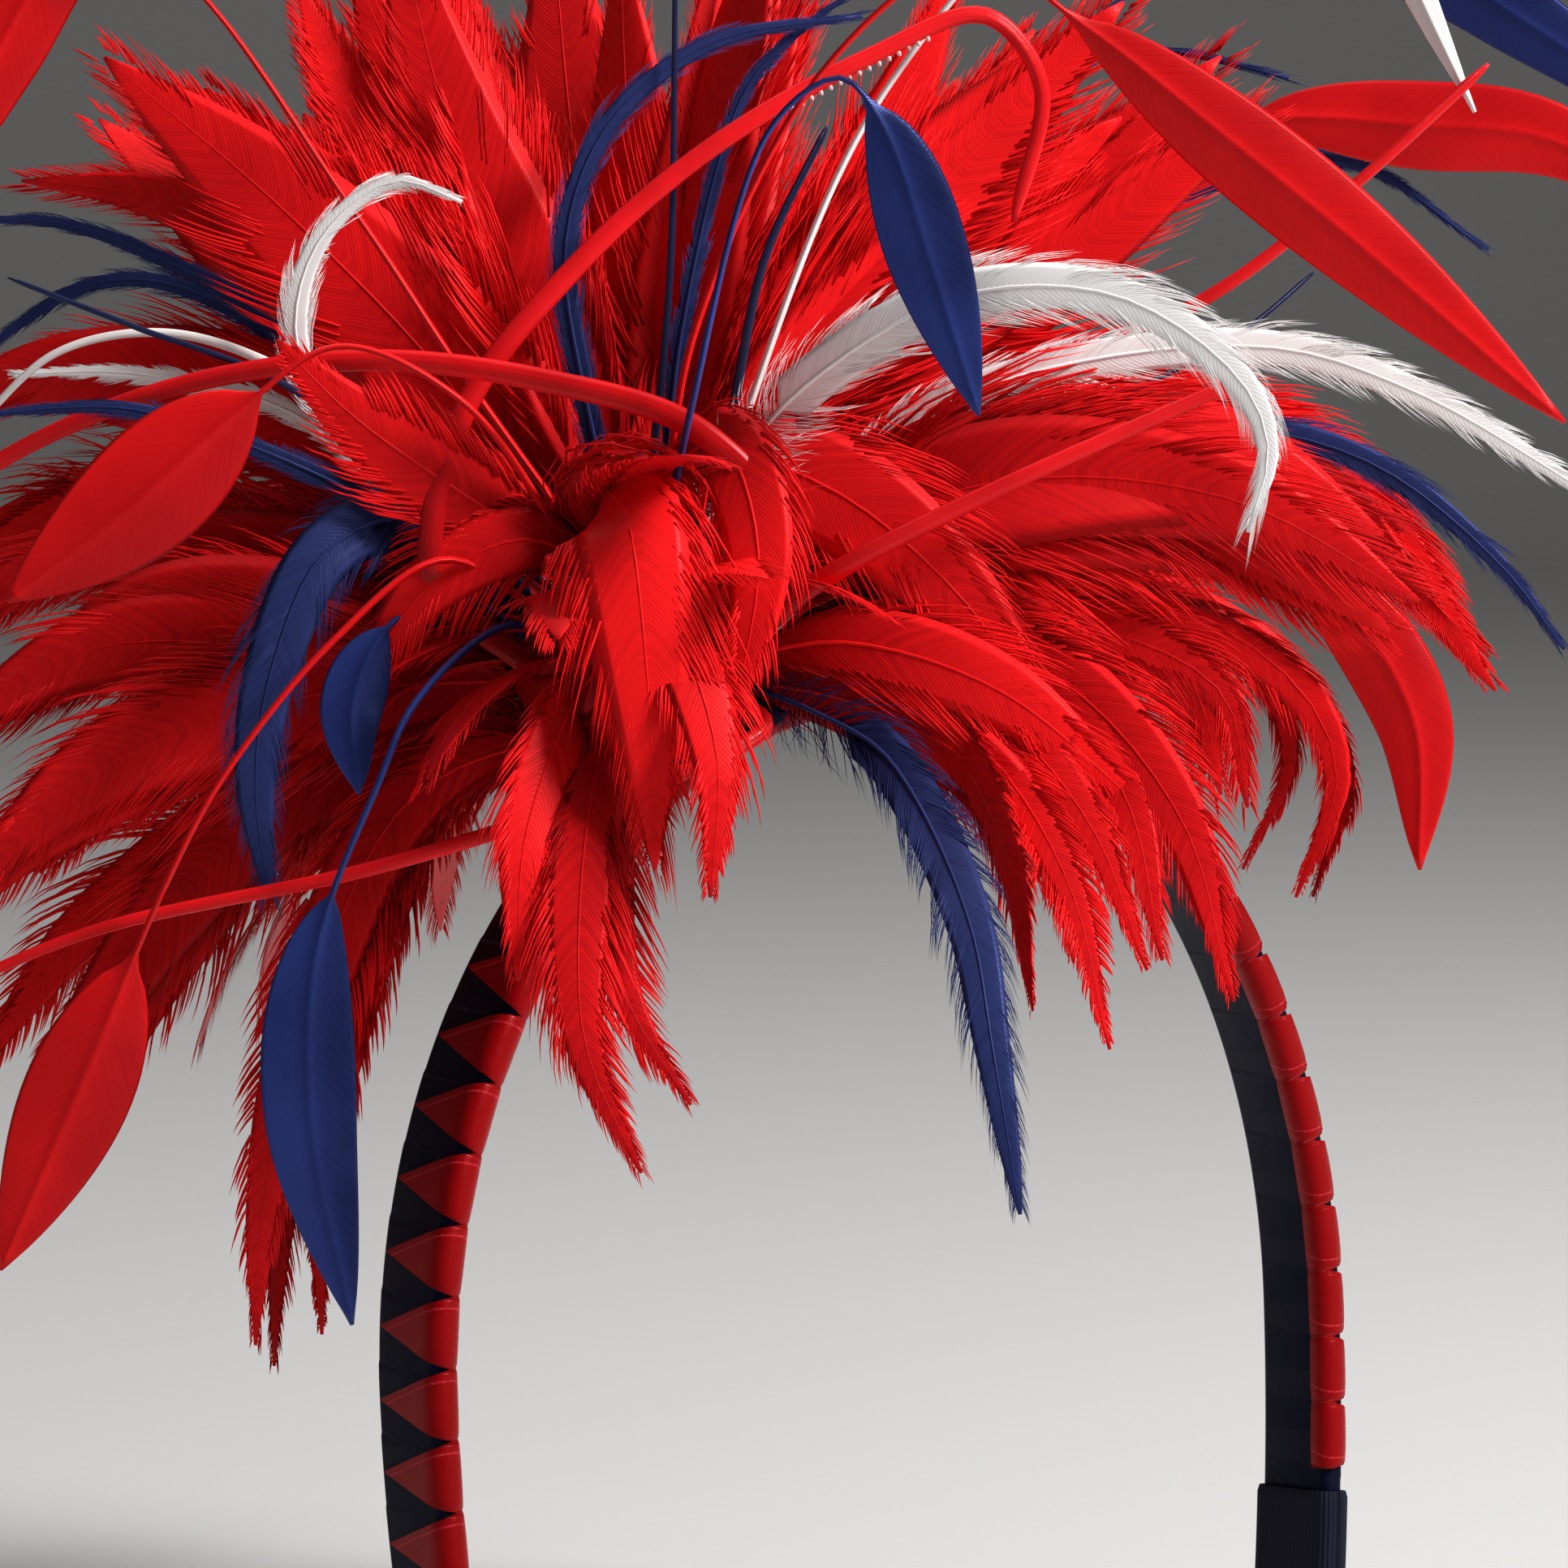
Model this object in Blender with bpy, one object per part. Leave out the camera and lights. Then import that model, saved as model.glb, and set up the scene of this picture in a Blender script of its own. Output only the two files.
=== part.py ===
"""A feather fascinator on a ribbon-wrapped headband, worn with its spray on the right of the crown.

Metres, +Z up. The origin is the middle of the band's inner face at the crown, the wearer looks along -Y
and the wearer's right is -X. The feathers spring from a flattened knot of bound roots on a pad on the band.
"""

import math

import bmesh
import bpy
import numpy as np
from mathutils import Vector

MM = 0.001

# The band, which is an ellipse over the head with two legs that draw in a little
HEAD_HALF_WIDTH = 76.5 * MM
CROWN_HEIGHT = 95.0 * MM
LEG_LENGTH = 50.0 * MM
LEG_DRAW_IN = 3.5 * MM
LEG_SWEEP = 7.0 * MM
BAND_WIDTH = 15.6 * MM
BAND_THICKNESS = 3.7 * MM
BAND_CORNER = 1.4 * MM
ARCH_STEPS = 42
LEG_STEPS = 6

# The red ribbon wound over it and the bindings at its tips
CLEARANCE = 0.3 * MM
RIBBON_THICKNESS = 0.5 * MM
RIBBON_PITCH = 10.0 * MM
RIBBON_REACH = 12.6 * MM
RIBBON_VALLEY = 1.2 * MM
RIBBON_TUCK = 2.6 * MM
BINDING_LENGTH = 22.0 * MM
BINDING_WALL = 0.8 * MM

# The pad, tilted to the wearer's right, and the knot of roots on it
PAD_TILT = math.radians(27.5)
PAD_LENGTH = 44.0 * MM
PAD_WIDTH = 40.0 * MM
PAD_THICKNESS = 3.0 * MM
KNOT_RADIUS = 20.0 * MM
KNOT_HEIGHT = 24.0 * MM
LOW_SHARE = 0.36
MIDDLE_SHARE = 0.30

# The pad's profile as shares of its radius and thickness, from the underside's rim to the dome's
PAD_PROFILE = ((0.97, 0.0), (1.0, 0.35), (0.9, 0.8), (0.7, 1.0))
KNOT_SIDES = 22
SLICE_STEPS = 4

# Feathers: the unit of their widths and lengths, stems, vanes and the thickness at a vane's ridge.
# Quills are given their thickness and taper as shares of their width. The last four are shares of a length.
FEATHER_UNIT = 1.0 * MM
STEM_RADIUS = 0.8 * MM
VANE_THICKNESS = 1.3 * MM
QUILL_THICKNESS = 0.55
QUILL_TAPER = 0.45
STEM_TAPER = 0.5
BLADE_STEPS = 7
ROOT_SHARE = 0.75
FUSED_BARE = 0.12
RING_BARE = 0.15
BINDING_STEPS = 5
ROUTE_SAMPLES = 12
SHARP_ANGLE = math.radians(40)

# Routes are measured by eye from this place in front of the wearer's right temple
SIGHT_TURN = math.radians(-34.0)
SIGHT_RISE = math.radians(5.0)
SIGHT_DISTANCE = 1.0
SIGHT_ACROSS = -12.0 * MM
SIGHT_UP = -12.5 * MM
ROUTE_UNIT = 0.976 * MM

SIGHT_BACK = Vector((
    math.sin(SIGHT_TURN) * math.cos(SIGHT_RISE),
    -math.cos(SIGHT_TURN) * math.cos(SIGHT_RISE),
    math.sin(SIGHT_RISE),
))
SIGHT_RIGHT = Vector((math.cos(SIGHT_TURN), math.sin(SIGHT_TURN), 0.0))
SIGHT_TOP = SIGHT_BACK.cross(SIGHT_RIGHT)
EYE = SIGHT_RIGHT * SIGHT_ACROSS + SIGHT_TOP * SIGHT_UP + SIGHT_BACK * SIGHT_DISTANCE

PAD_AXIS = Vector((-math.sin(PAD_TILT), 0.0, math.cos(PAD_TILT)))
PAD_LONG = Vector((math.cos(PAD_TILT), 0.0, math.sin(PAD_TILT)))
PAD_CROSS = Vector((0.0, 1.0, 0.0))

COLOURS = {
    "red": (0.62, 0.012, 0.016),
    "deep_red": (0.30, 0.004, 0.008),
    "navy": (0.018, 0.03, 0.12),
    "dark_navy": (0.008, 0.01, 0.03),
    "white": (0.82, 0.78, 0.76),
}

# Single feathers. Each route lists the points that a feather passes from its root to its tip, as across, up
# and toward the eye, in route units from the middle of the knot. bare is the point where the vane begins.
SINGLE_COLUMNS = ("name", "form", "colour", "width", "bare", "route")
SINGLES = (
    ("loop_quill", "quill", "red", 3.8, 0, ((-14, -3, 8), (-30, 8, 19), (-26, 32, 19), (-11, 52, 17),
        (9, 70, 14), (33, 84, 10), (50, 90, 8), (58, 80, 6), (54, 60, 4))),
    ("arc_quill", "quill", "red", 4.0, 0, ((9, 5, 15), (20, 16, 28), (8, 30, 30), (-14, 37, 26),
        (-40, 40, 20), (-68, 36, 14), (-92, 26, 8), (-108, 14, 4))),
    ("long_quill", "quill", "red", 3.2, 0, ((13, 0, 11), (26, 8, 23), (49, 20, 24), (89, 38, 24))),
    ("low_quill", "quill", "red", 2.6, 0, ((9, -7, 14), (18, -13, 24), (8, -19, 30), (-10, -25, 32),
        (-40, -34, 30), (-80, -43, 26), (-108, -55, 22))),
    ("blunt_quill", "quill", "red", 2.6, 0, ((13, 8, -4), (40, 30, -4), (82, 49, 3), (103, 65, 6),
        (123, 83, 8))),
    ("red_leaf_right", "leaf", "red", 13.0, 4, ((2, 9, 6), (8, 45, 22), (28, 84, 32), (48, 98, 34),
        (65, 88, 34), (84, 73, 33), (105, 56, 31), (134, 31, 28))),
    ("navy_leaf_centre", "leaf", "navy", 11.5, 4, ((3, 9, 14), (7, 32, 36), (19, 74, 45), (29, 81, 46),
        (35, 74, 46), (42, 54, 44), (49, 32, 42))),
    ("red_leaf_left", "leaf", "red", 17.0, 3, ((-9, 9, 12), (-26, 34, 26), (-44, 42, 29), (-58, 33, 30),
        (-75, 18, 30), (-92, 5, 28))),
    ("red_blade_left", "leaf", "red", 15.0, 4, ((-15, 3, 11), (-29, 11, 23), (-45, -1, 29), (-61, -21, 32),
        (-69, -36, 33), (-80, -62, 32), (-93, -92, 28))),
    ("navy_blade_left", "leaf", "navy", 13.0, 3, ((-12, 1, 13), (-21, 1, 22), (-33, -10, 32),
        (-38, -21, 36), (-47, -45, 38), (-48, -70, 38), (-42, -100, 36))),
    ("red_blade_right", "leaf", "red", 12.0, 3, ((14, 2, 4), (50, 14, 2), (85, 14, 0), (101, 5, 0),
        (112, -12, 0), (113, -34, 0))),
    ("red_leaf_far_right", "leaf", "red", 13.0, 3, ((9, 9, -7), (45, 50, -20), (85, 74, -24),
        (114, 74, -24), (132, 72, -24), (152, 60, -24))),
    ("navy_leaf_far_right", "leaf", "navy", 12.0, 3, ((6, 10, -5), (40, 66, -18), (85, 100, -24),
        (112, 98, -26), (130, 88, -26), (155, 70, -26))),
    ("navy_leaf_low_right", "leaf", "navy", 7.0, 3, ((9, 8, -13), (60, 52, -34), (100, 72, -40),
        (121, 74, -40), (135, 72, -40), (152, 64, -40))),
    ("white_leaf_top", "leaf", "white", 7.0, 3, ((6, 10, 2), (36, 80, 4), (76, 118, 6), (105, 112, 6),
        (113, 93, 6), (121, 76, 6))),
    ("red_leaf_top_left", "leaf", "red", 13.0, 4, ((-6, 10, 4), (-26, 38, 10), (-42, 62, 11), (-70, 98, 12),
        (-84, 98, 12), (-94, 84, 12), (-104, 60, 10))),
    ("white_hackle_curl", "hackle", "white", 9.0, 0, ((10, 8, 10), (15, 26, 20), (30, 41, 32),
        (49, 50, 38), (70, 49, 40), (87, 37, 40), (91, 27, 39), (88, 15, 38))),
    ("white_curl_left", "hackle", "white", 7.0, 0, ((-11, 9, 4), (-40, 26, 10), (-50, 42, 14),
        (-47, 57, 16), (-36, 66, 17), (-26, 63, 18))),
    ("white_hackle_right", "hackle", "white", 9.0, 0, ((10, 6, 0), (45, 34, 4), (89, 42, 4),
        (111, 36, 4), (142, 18, 2))),
    ("white_quill_left", "quill", "white", 1.8, 0, ((-12, 9, 0), (-34, 26, 4), (-55, 40, 9),
        (-70, 44, 10), (-85, 41, 10), (-98, 29, 8))),
    ("navy_left_high", "hackle", "navy", 5.0, 0, ((-12, 6, -3), (-51, 44, -6), (-68, 54, -6),
        (-85, 60, -6), (-102, 60, -6))),
    ("navy_left_arch", "hackle", "navy", 5.0, 0, ((-11, 4, -5), (-45, 38, -11), (-68, 51, -11),
        (-80, 51, -11), (-92, 44, -11), (-101, 36, -11))),
    ("navy_left_low", "hackle", "navy", 5.0, 0, ((-14, 6, 2), (-40, 20, 8), (-58, 28, 14),
        (-75, 33, 16), (-98, 32, 16))),
    ("navy_split", "hackle", "navy", 13.0, 0, ((-15, 3, 5), (-33, 17, 15), (-46, 12, 22),
        (-54, -6, 25), (-56, -22, 26), (-54, -38, 26))),
    ("navy_leaf_inner", "leaf", "navy", 9.0, 2, ((-14, 0, 6), (-25, 5, 12), (-36, 2, 19),
        (-42, -10, 23), (-41, -23, 24))),
    ("navy_top_curl", "hackle", "navy", 6.0, 0, ((-2, 10, 4), (-8, 34, 9), (-11, 57, 9),
        (-5, 74, 8), (10, 86, 5), (32, 90, 2))),
    ("navy_centre_thin", "quill", "navy", 1.8, 0, ((6, 10, 6), (13, 32, 13), (18, 55, 18), (27, 74, 20))),
    ("navy_far_top", "hackle", "navy", 4.0, 0, ((3, 9, -9), (38, 68, -26), (60, 82, -26), (75, 85, -26),
        (94, 81, -24))),
    ("navy_far_right", "hackle", "navy", 5.0, 0, ((11, 6, -9), (60, 54, -27), (101, 69, -28),
        (123, 56, -28))),
    ("navy_right_arch", "hackle", "navy", 7.0, 0, ((12, 4, -4), (50, 24, -8), (85, 30, -8),
        (106, 25, -8), (125, 10, -8), (134, -2, -8))),
    ("navy_head_hackle", "hackle", "navy", 8.0, 0, ((15, -7, 9), (25, -11, 18), (34, -16, 24),
        (40, -24, 32), (48, -43, 52), (51, -60, 61), (55, -84, 67))),
)

# Broad red feathers with routes of their own, fused to one of the three masses
FUSED_COLUMNS = ("mass", "width", "route")
FUSED = (
    ("plume_low", 14.5, ((36, 1, 6), (60, -6, 16), (78, -26, 30), (86, -53, 46))),
    ("plume_low", 9.5, ((36, -8, 10), (50, -17, 22), (62, -36, 42), (68, -60, 58))),
    ("plume_low", 13.0, ((-6, -18, 34), (-9, -40, 44), (-8, -60, 50), (0, -78, 54))),
    ("plume_low", 11.0, ((-34, -24, 14), (-50, -60, 14), (-55, -84, 12), (-56, -103, 10))),
    ("plume_low", 14.5, ((-50, -22, 4), (-80, -56, 4), (-92, -80, 2))),
    ("plume_low", 17.0, ((60, 2, 4), (84, -8, 6), (88, -25, 6))),
    ("plume_low", 9.5, ((70, 6, -8), (94, -6, -10), (101, -20, -10), (95, -38, -10))),
    ("plume_middle", 29.0, ((50, 22, 10), (85, 20, 10), (113, 5, 8))),
    ("plume_middle", 19.0, ((60, 29, -25), (100, 22, -28), (124, -8, -28))),
    ("plume_middle", 21.5, ((-50, -9, 8), (-80, -20, 10), (-100, -40, 10))),
    ("plume_middle", 21.5, ((-50, -2, 3), (-80, -2, 3), (-104, -16, 2))),
    ("plume_middle", 21.5, ((-50, 8, -28), (-86, 16, -34), (-112, 0, -36))),
    ("plume_crown", 21.5, ((-6, 20, 18), (-2, 17, 36), (1, -8, 43), (2, -34, 43))),
    ("plume_crown", 26.5, ((-26, 34, 4), (-50, 60, 4), (-78, 84, 2))),
    ("plume_crown", 24.0, ((-14, 40, 1), (-28, 74, -1), (-36, 106, -3))),
    ("plume_crown", 29.0, ((22, 40, -4), (44, 66, -8), (70, 92, -12))),
    ("plume_crown", 26.5, ((34, 36, -12), (62, 56, -12), (90, 76, -13))),
)

# The rest of the masses, in rings round the knot: azimuths in degrees, 0 to the eye's right and 90 away from
# it, the rise above the pad at the root and at the tip, and the vane's length and width in millimetres
RING_COLUMNS = ("mass", "azimuths", "root_rise", "tip_rise", "length", "width")
RINGS = (
    ("plume_low", (38, 66, 98, 130, 162), 4, -52, 96, 25),
    ("plume_middle", (68, 92, 116, 140), 28, -12, 106, 27),
    ("plume_crown", (50, 78, 104, 122), 52, 34, 110, 26),
    ("plume_crown", (91,), 70, 62, 104, 25),
)

for existing in list(bpy.data.objects):
    bpy.data.objects.remove(existing, do_unlink=True)


def material(name, colour, roughness):
    """A Principled material of one colour."""
    made = bpy.data.materials.new(name)
    made.use_nodes = True
    shader = made.node_tree.nodes["Principled BSDF"]
    shader.inputs["Base Color"].default_value = (*COLOURS[colour], 1.0)
    shader.inputs["Roughness"].default_value = roughness
    shader.inputs["Metallic"].default_value = 0.0
    return made


def closed_object(name, points, faces, finish):
    """A named object from points and faces, with every face turned outwards."""
    mesh = bpy.data.meshes.new(name)
    mesh.from_pydata([tuple(p) for p in points], [], faces)
    work = bmesh.new()
    work.from_mesh(mesh)
    bmesh.ops.recalc_face_normals(work, faces=work.faces)
    if work.calc_volume(signed=True) < 0:
        bmesh.ops.reverse_faces(work, faces=work.faces)
    work.to_mesh(mesh)
    work.free()
    mesh.shade_smooth()
    mesh.set_sharp_from_angle(angle=SHARP_ANGLE)
    made = bpy.data.objects.new(name, mesh)
    made.data.materials.append(finish)
    bpy.context.scene.collection.objects.link(made)
    return made


def tube_faces(rings, sides):
    """Faces of a closed tube of rings that each have the same number of sides, with flat ends."""
    faces = [tuple(range(sides)), tuple((rings - 1) * sides + i for i in range(sides))]
    for ring in range(rings - 1):
        for side in range(sides):
            near, far = ring * sides + side, ring * sides + (side + 1) % sides
            faces.append((near, far, far + sides, near + sides))
    return faces


# The band's middle line on its inner face

def band_line():
    """Points of the band's inner middle line from the right tip to the left tip, with outward directions."""
    leg = [(1 + (LEG_STEPS - i) / LEG_STEPS) for i in range(LEG_STEPS)]
    arch = [1 - 2 * i / ARCH_STEPS for i in range(ARCH_STEPS + 1)]
    points = []
    for share in leg + arch + [-value for value in reversed(leg)]:
        side = -1.0 if share > 0 else 1.0
        if abs(share) > 1:
            down = abs(share) - 1
            x = side * (HEAD_HALF_WIDTH - LEG_DRAW_IN * down**2)
            z = -CROWN_HEIGHT - LEG_LENGTH * down
        else:
            turn = abs(share) * math.pi / 2
            x = side * HEAD_HALF_WIDTH * math.sin(turn)
            z = -CROWN_HEIGHT * (1 - math.cos(turn))
        drop = -z / (CROWN_HEIGHT + LEG_LENGTH)
        points.append(Vector((x, -LEG_SWEEP * drop**2, z)))
    frames = []
    for i, point in enumerate(points):
        along = (points[min(i + 1, len(points) - 1)] - points[max(i - 1, 0)]).normalized()
        out = Vector((-along.z, 0.0, along.x)).normalized()
        frames.append((point, along, out, along.cross(out)))
    return frames


BAND = band_line()


def band_frame(run):
    """The band's frame at a length along it from the right tip."""
    walked = 0.0
    for near, far in zip(BAND, BAND[1:]):
        step = (far[0] - near[0]).length
        if walked + step >= run:
            share = (run - walked) / step
            return tuple(a.lerp(b, share) for a, b in zip(near, far))
        walked += step
    return BAND[-1]


BAND_LENGTH = sum((b[0] - a[0]).length for a, b in zip(BAND, BAND[1:]))


def band_section(grow):
    """Corner points of the band's section, front to back and outward, grown by an offset."""
    half, low, high = BAND_WIDTH / 2 + grow, -grow, BAND_THICKNESS + grow
    bend = BAND_CORNER + grow
    section = []
    for centre_y, centre_z, first in ((half - bend, high - bend, 0), (-half + bend, high - bend, 90),
                                      (-half + bend, low + bend, 180), (half - bend, low + bend, 270)):
        for turn in (0, 45, 90):
            angle = math.radians(first + turn)
            section.append((centre_y + bend * math.cos(angle), centre_z + bend * math.sin(angle)))
    return section


def on_band(frame, across, out):
    """A point across the band, towards the wearer's front, and out from its inner face."""
    point, along, outward, cross = frame
    return point + cross * across + outward * out


def headband():
    """The rigid band with its navy wrap, a rounded section carried along the middle line."""
    section = band_section(0.0)
    points = [on_band(frame, y, z) for frame in BAND for y, z in section]
    return closed_object("headband", points, tube_faces(len(BAND), len(section)),
                         material("navy_satin", "dark_navy", 0.35))


def end_binding(name, first, last):
    """A sleeve over a tip, closed beyond the tip, from length first to length last along the band."""
    steps = BINDING_STEPS
    outer, inner = band_section(CLEARANCE + BINDING_WALL), band_section(CLEARANCE)
    sides = len(outer)
    mouth_to_tip = [first + (last - first) * i / steps for i in range(steps + 1)]
    points = []
    for section, beyond in ((outer, CLEARANCE + BINDING_WALL), (inner, CLEARANCE)):
        for i, run in enumerate(mouth_to_tip):
            frame = band_frame(run)
            reach = beyond if i == steps else 0.0
            push = frame[1] * (reach if last > first else -reach)
            points += [on_band(frame, y, z) + push for y, z in section]
    rings = steps + 1
    faces = []
    for wall in (0, rings):
        for ring in range(wall, wall + steps):
            for side in range(sides):
                near, far = ring * sides + side, ring * sides + (side + 1) % sides
                faces.append((near, far, far + sides, near + sides))
    faces.append(tuple(steps * sides + side for side in range(sides)))
    faces.append(tuple((rings + steps) * sides + side for side in range(sides)))
    for side in range(sides):
        following = (side + 1) % sides
        faces.append((side, following, rings * sides + following, rings * sides + side))
    return closed_object(name, points, faces, material(name + "_grosgrain", "dark_navy", 0.7))


def ribbon_profile(reach, lift):
    """Points across the red ribbon: its tuck under the front edge, round the edge, and its reach on the face."""
    section = band_section(lift)
    half = BAND_WIDTH / 2
    top = section[2][1]
    return [(half - RIBBON_TUCK, -lift), *section[9:12], *section[0:3], (half - reach, top)]


def red_ribbon():
    """The red ribbon: a strip along the front edge with a tooth over the outer face at each turn."""
    start = BINDING_LENGTH + CLEARANCE
    turns = int((BAND_LENGTH - 2 * start) / RIBBON_PITCH)
    margin = (BAND_LENGTH - turns * RIBBON_PITCH) / 2
    top, bottom = [], []
    rows = 2 * turns + 1
    for row in range(rows):
        frame = band_frame(margin + row * RIBBON_PITCH / 2)
        reach = RIBBON_REACH if row % 2 else BAND_CORNER + RIBBON_VALLEY
        bottom += [on_band(frame, y, z) for y, z in ribbon_profile(reach, CLEARANCE)]
        top += [on_band(frame, y, z) for y, z in ribbon_profile(reach, CLEARANCE + RIBBON_THICKNESS)]
    columns = len(top) // rows
    count = len(top)
    faces = []
    for row in range(rows - 1):
        for column in range(columns - 1):
            a = row * columns + column
            quad = (a, a + 1, a + columns + 1, a + columns)
            faces.append(quad)
            faces.append(tuple(count + i for i in reversed(quad)))
        for edge in (0, columns - 1):
            a = row * columns + edge
            faces.append((a, a + columns, count + a + columns, count + a))
    for row in (0, rows - 1):
        for column in range(columns - 1):
            a = row * columns + column
            faces.append((a, a + 1, count + a + 1, count + a))
    return closed_object("red_ribbon", top + bottom, faces, material("red_satin", "deep_red", 0.3))


# The pad and the knot

def pad_seat():
    """The middle of the pad's underside, clear of the ribbon on the band's outer face."""
    turn = math.atan(math.tan(PAD_TILT) * HEAD_HALF_WIDTH / CROWN_HEIGHT)
    foot = Vector((-HEAD_HALF_WIDTH * math.sin(turn), 0.0, -CROWN_HEIGHT * (1 - math.cos(turn))))
    return foot + PAD_AXIS * (BAND_THICKNESS + 2 * CLEARANCE + RIBBON_THICKNESS)


PAD_SEAT = pad_seat()
KNOT_FOOT = PAD_SEAT + PAD_AXIS * (PAD_THICKNESS + CLEARANCE)
KNOT = KNOT_FOOT + PAD_AXIS * (KNOT_HEIGHT / 2)


def turned(name, profile, foot, stretch, finish):
    """A turned solid about the pad's axis: profile is (radius, height) pairs from the foot up."""
    points = [foot + PAD_AXIS * profile[0][1]]
    for radius, height in profile[1:-1]:
        for side in range(KNOT_SIDES):
            angle = 2 * math.pi * side / KNOT_SIDES
            flat = PAD_LONG * math.cos(angle) * radius + PAD_CROSS * math.sin(angle) * radius * stretch
            points.append(foot + flat + PAD_AXIS * height)
    points.append(foot + PAD_AXIS * profile[-1][1])
    faces = []
    last = len(points) - 1
    rings = len(profile) - 2
    for side in range(KNOT_SIDES):
        following = (side + 1) % KNOT_SIDES
        faces.append((0, 1 + following, 1 + side))
        for ring in range(rings - 1):
            base = 1 + ring * KNOT_SIDES
            faces.append((base + side, base + following, base + KNOT_SIDES + following,
                          base + KNOT_SIDES + side))
        base = 1 + (rings - 1) * KNOT_SIDES
        faces.append((base + side, base + following, last))
    return closed_object(name, points, faces, finish)


def feather_base():
    """The oval pad: a flat underside, an upright edge and a low dome."""
    radius = PAD_LENGTH / 2
    rings = [(radius * out, PAD_THICKNESS * up) for out, up in PAD_PROFILE]
    profile = [(0.0, 0.0), *rings, (0.0, PAD_THICKNESS)]
    return turned("feather_base", profile, PAD_SEAT, PAD_WIDTH / PAD_LENGTH,
                  material("navy_pad", "dark_navy", 0.8))


def knot_slice(name, low, high):
    """A slice of the flattened knot between two shares of its height."""
    turns = [math.acos(1 - 2 * share) for share in (low, high)]
    spread = (turns[1] - turns[0]) / SLICE_STEPS
    shares = [(1 - math.cos(turns[0] + spread * i)) / 2 for i in range(SLICE_STEPS + 1)]
    radii = [KNOT_RADIUS * math.sqrt(max(1 - (2 * share - 1) ** 2, 0.0)) for share in shares]
    profile = [(0.0, shares[0] * KNOT_HEIGHT)]
    profile += [(r, s * KNOT_HEIGHT) for r, s in zip(radii, shares) if r > 1 * MM]
    profile += [(0.0, shares[-1] * KNOT_HEIGHT)]
    return turned(name, profile, KNOT_FOOT, 1.0, material(name + "_red", "red", 0.55))


# Feathers

def placed(step):
    """A route's point in metres: across and up at the knot's distance, then drawn toward the eye."""
    across, up, toward = (value * ROUTE_UNIT for value in step)
    flat = KNOT + SIGHT_RIGHT * across + SIGHT_TOP * up
    return flat + (EYE - flat).normalized() * toward


def knot_surface(direction, gap):
    """The point of the knot's surface, grown by a gap, in a direction from its middle."""
    rise = direction.dot(PAD_AXIS)
    flat = math.sqrt(max(1 - rise**2, 0.0))
    reach = 1 / math.hypot(rise / (KNOT_HEIGHT / 2 + gap), flat / (KNOT_RADIUS + gap))
    return KNOT + direction * reach


def smooth_route(points, steps):
    """Evenly spaced points of a centripetal Catmull-Rom curve through a route's points."""
    p = np.array([tuple(point) for point in points])
    q = np.vstack([2 * p[0] - p[1], p, 2 * p[-1] - p[-2]])
    knots = np.concatenate([[0.0], np.cumsum(np.linalg.norm(np.diff(q, axis=0), axis=1) ** 0.5)])
    fine = []
    for i in range(1, len(q) - 2):
        t = np.linspace(knots[i], knots[i + 1], ROUTE_SAMPLES, endpoint=False)[:, None]
        k = knots[i - 1:i + 3]
        a = [((k[j + 1] - t) * q[i + j - 1] + (t - k[j]) * q[i + j]) / (k[j + 1] - k[j]) for j in range(3)]
        b = [((k[j + 2] - t) * a[j] + (t - k[j]) * a[j + 1]) / (k[j + 2] - k[j]) for j in range(2)]
        fine.append(((k[2] - t) * b[0] + (t - k[1]) * b[1]) / (k[2] - k[1]))
    fine = np.vstack([*fine, p[-1:]])
    run = np.concatenate([[0.0], np.cumsum(np.linalg.norm(np.diff(fine, axis=0), axis=1))])
    even = np.linspace(0.0, run[-1], steps + 1)
    return [Vector(np.array([np.interp(s, run, fine[:, axis]) for axis in range(3)])) for s in even]


def vane_share(form, share, bare):
    """Half-width of a feather at a share of its length, as a share of its widest."""
    if form == "quill":
        return 1 - QUILL_TAPER * share
    along = min(max((share - bare) / (1 - bare), 0.0), 1.0)
    if form == "leaf":
        return math.sin(math.pi * along**0.8) ** 0.8 if 0 < along < 1 else 0.0
    if form == "hackle":
        return 1.5 * along**0.35 * (1 - along) ** 0.6
    return math.sin(math.pi * min(along, 0.999) ** 0.9) ** 0.8


def feather_mesh(line, facing, form, width, bare):
    """Points and faces of a feather: a four-sided section, broad and low, carried along its line."""
    points = []
    last = len(line) - 1
    for i, point in enumerate(line):
        share = i / last
        along = (line[min(i + 1, last)] - line[max(i - 1, 0)]).normalized()
        face = facing(i)
        face = (face - along * face.dot(along)).normalized()
        side = along.cross(face)
        half = width / 2 * vane_share(form, share, bare)
        lift = half * QUILL_THICKNESS if form == "quill" else VANE_THICKNESS / 2
        if half < STEM_RADIUS:
            half = STEM_RADIUS * (1 - STEM_TAPER * share)
            lift = half if form != "quill" else lift
        points += [point + side * half, point + face * lift, point - side * half, point - face * lift]
    return points, tube_faces(len(line), 4)


def single_feather(row):
    """A feather that is a piece of its own, seated just off the knot."""
    route = [placed(step) for step in row["route"]]
    route[0] = knot_surface((route[0] - KNOT).normalized(), CLEARANCE + STEM_RADIUS / 2)
    line = smooth_route(route, 2 * (len(route) - 1))
    bare = row["bare"] / (len(route) - 1)
    points, faces = feather_mesh(line, lambda i: EYE - line[i], row["form"],
                                 row["width"] * FEATHER_UNIT, bare)
    return closed_object(row["name"], points, faces, material(row["name"] + "_barbs", row["colour"], 0.5))


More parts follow.
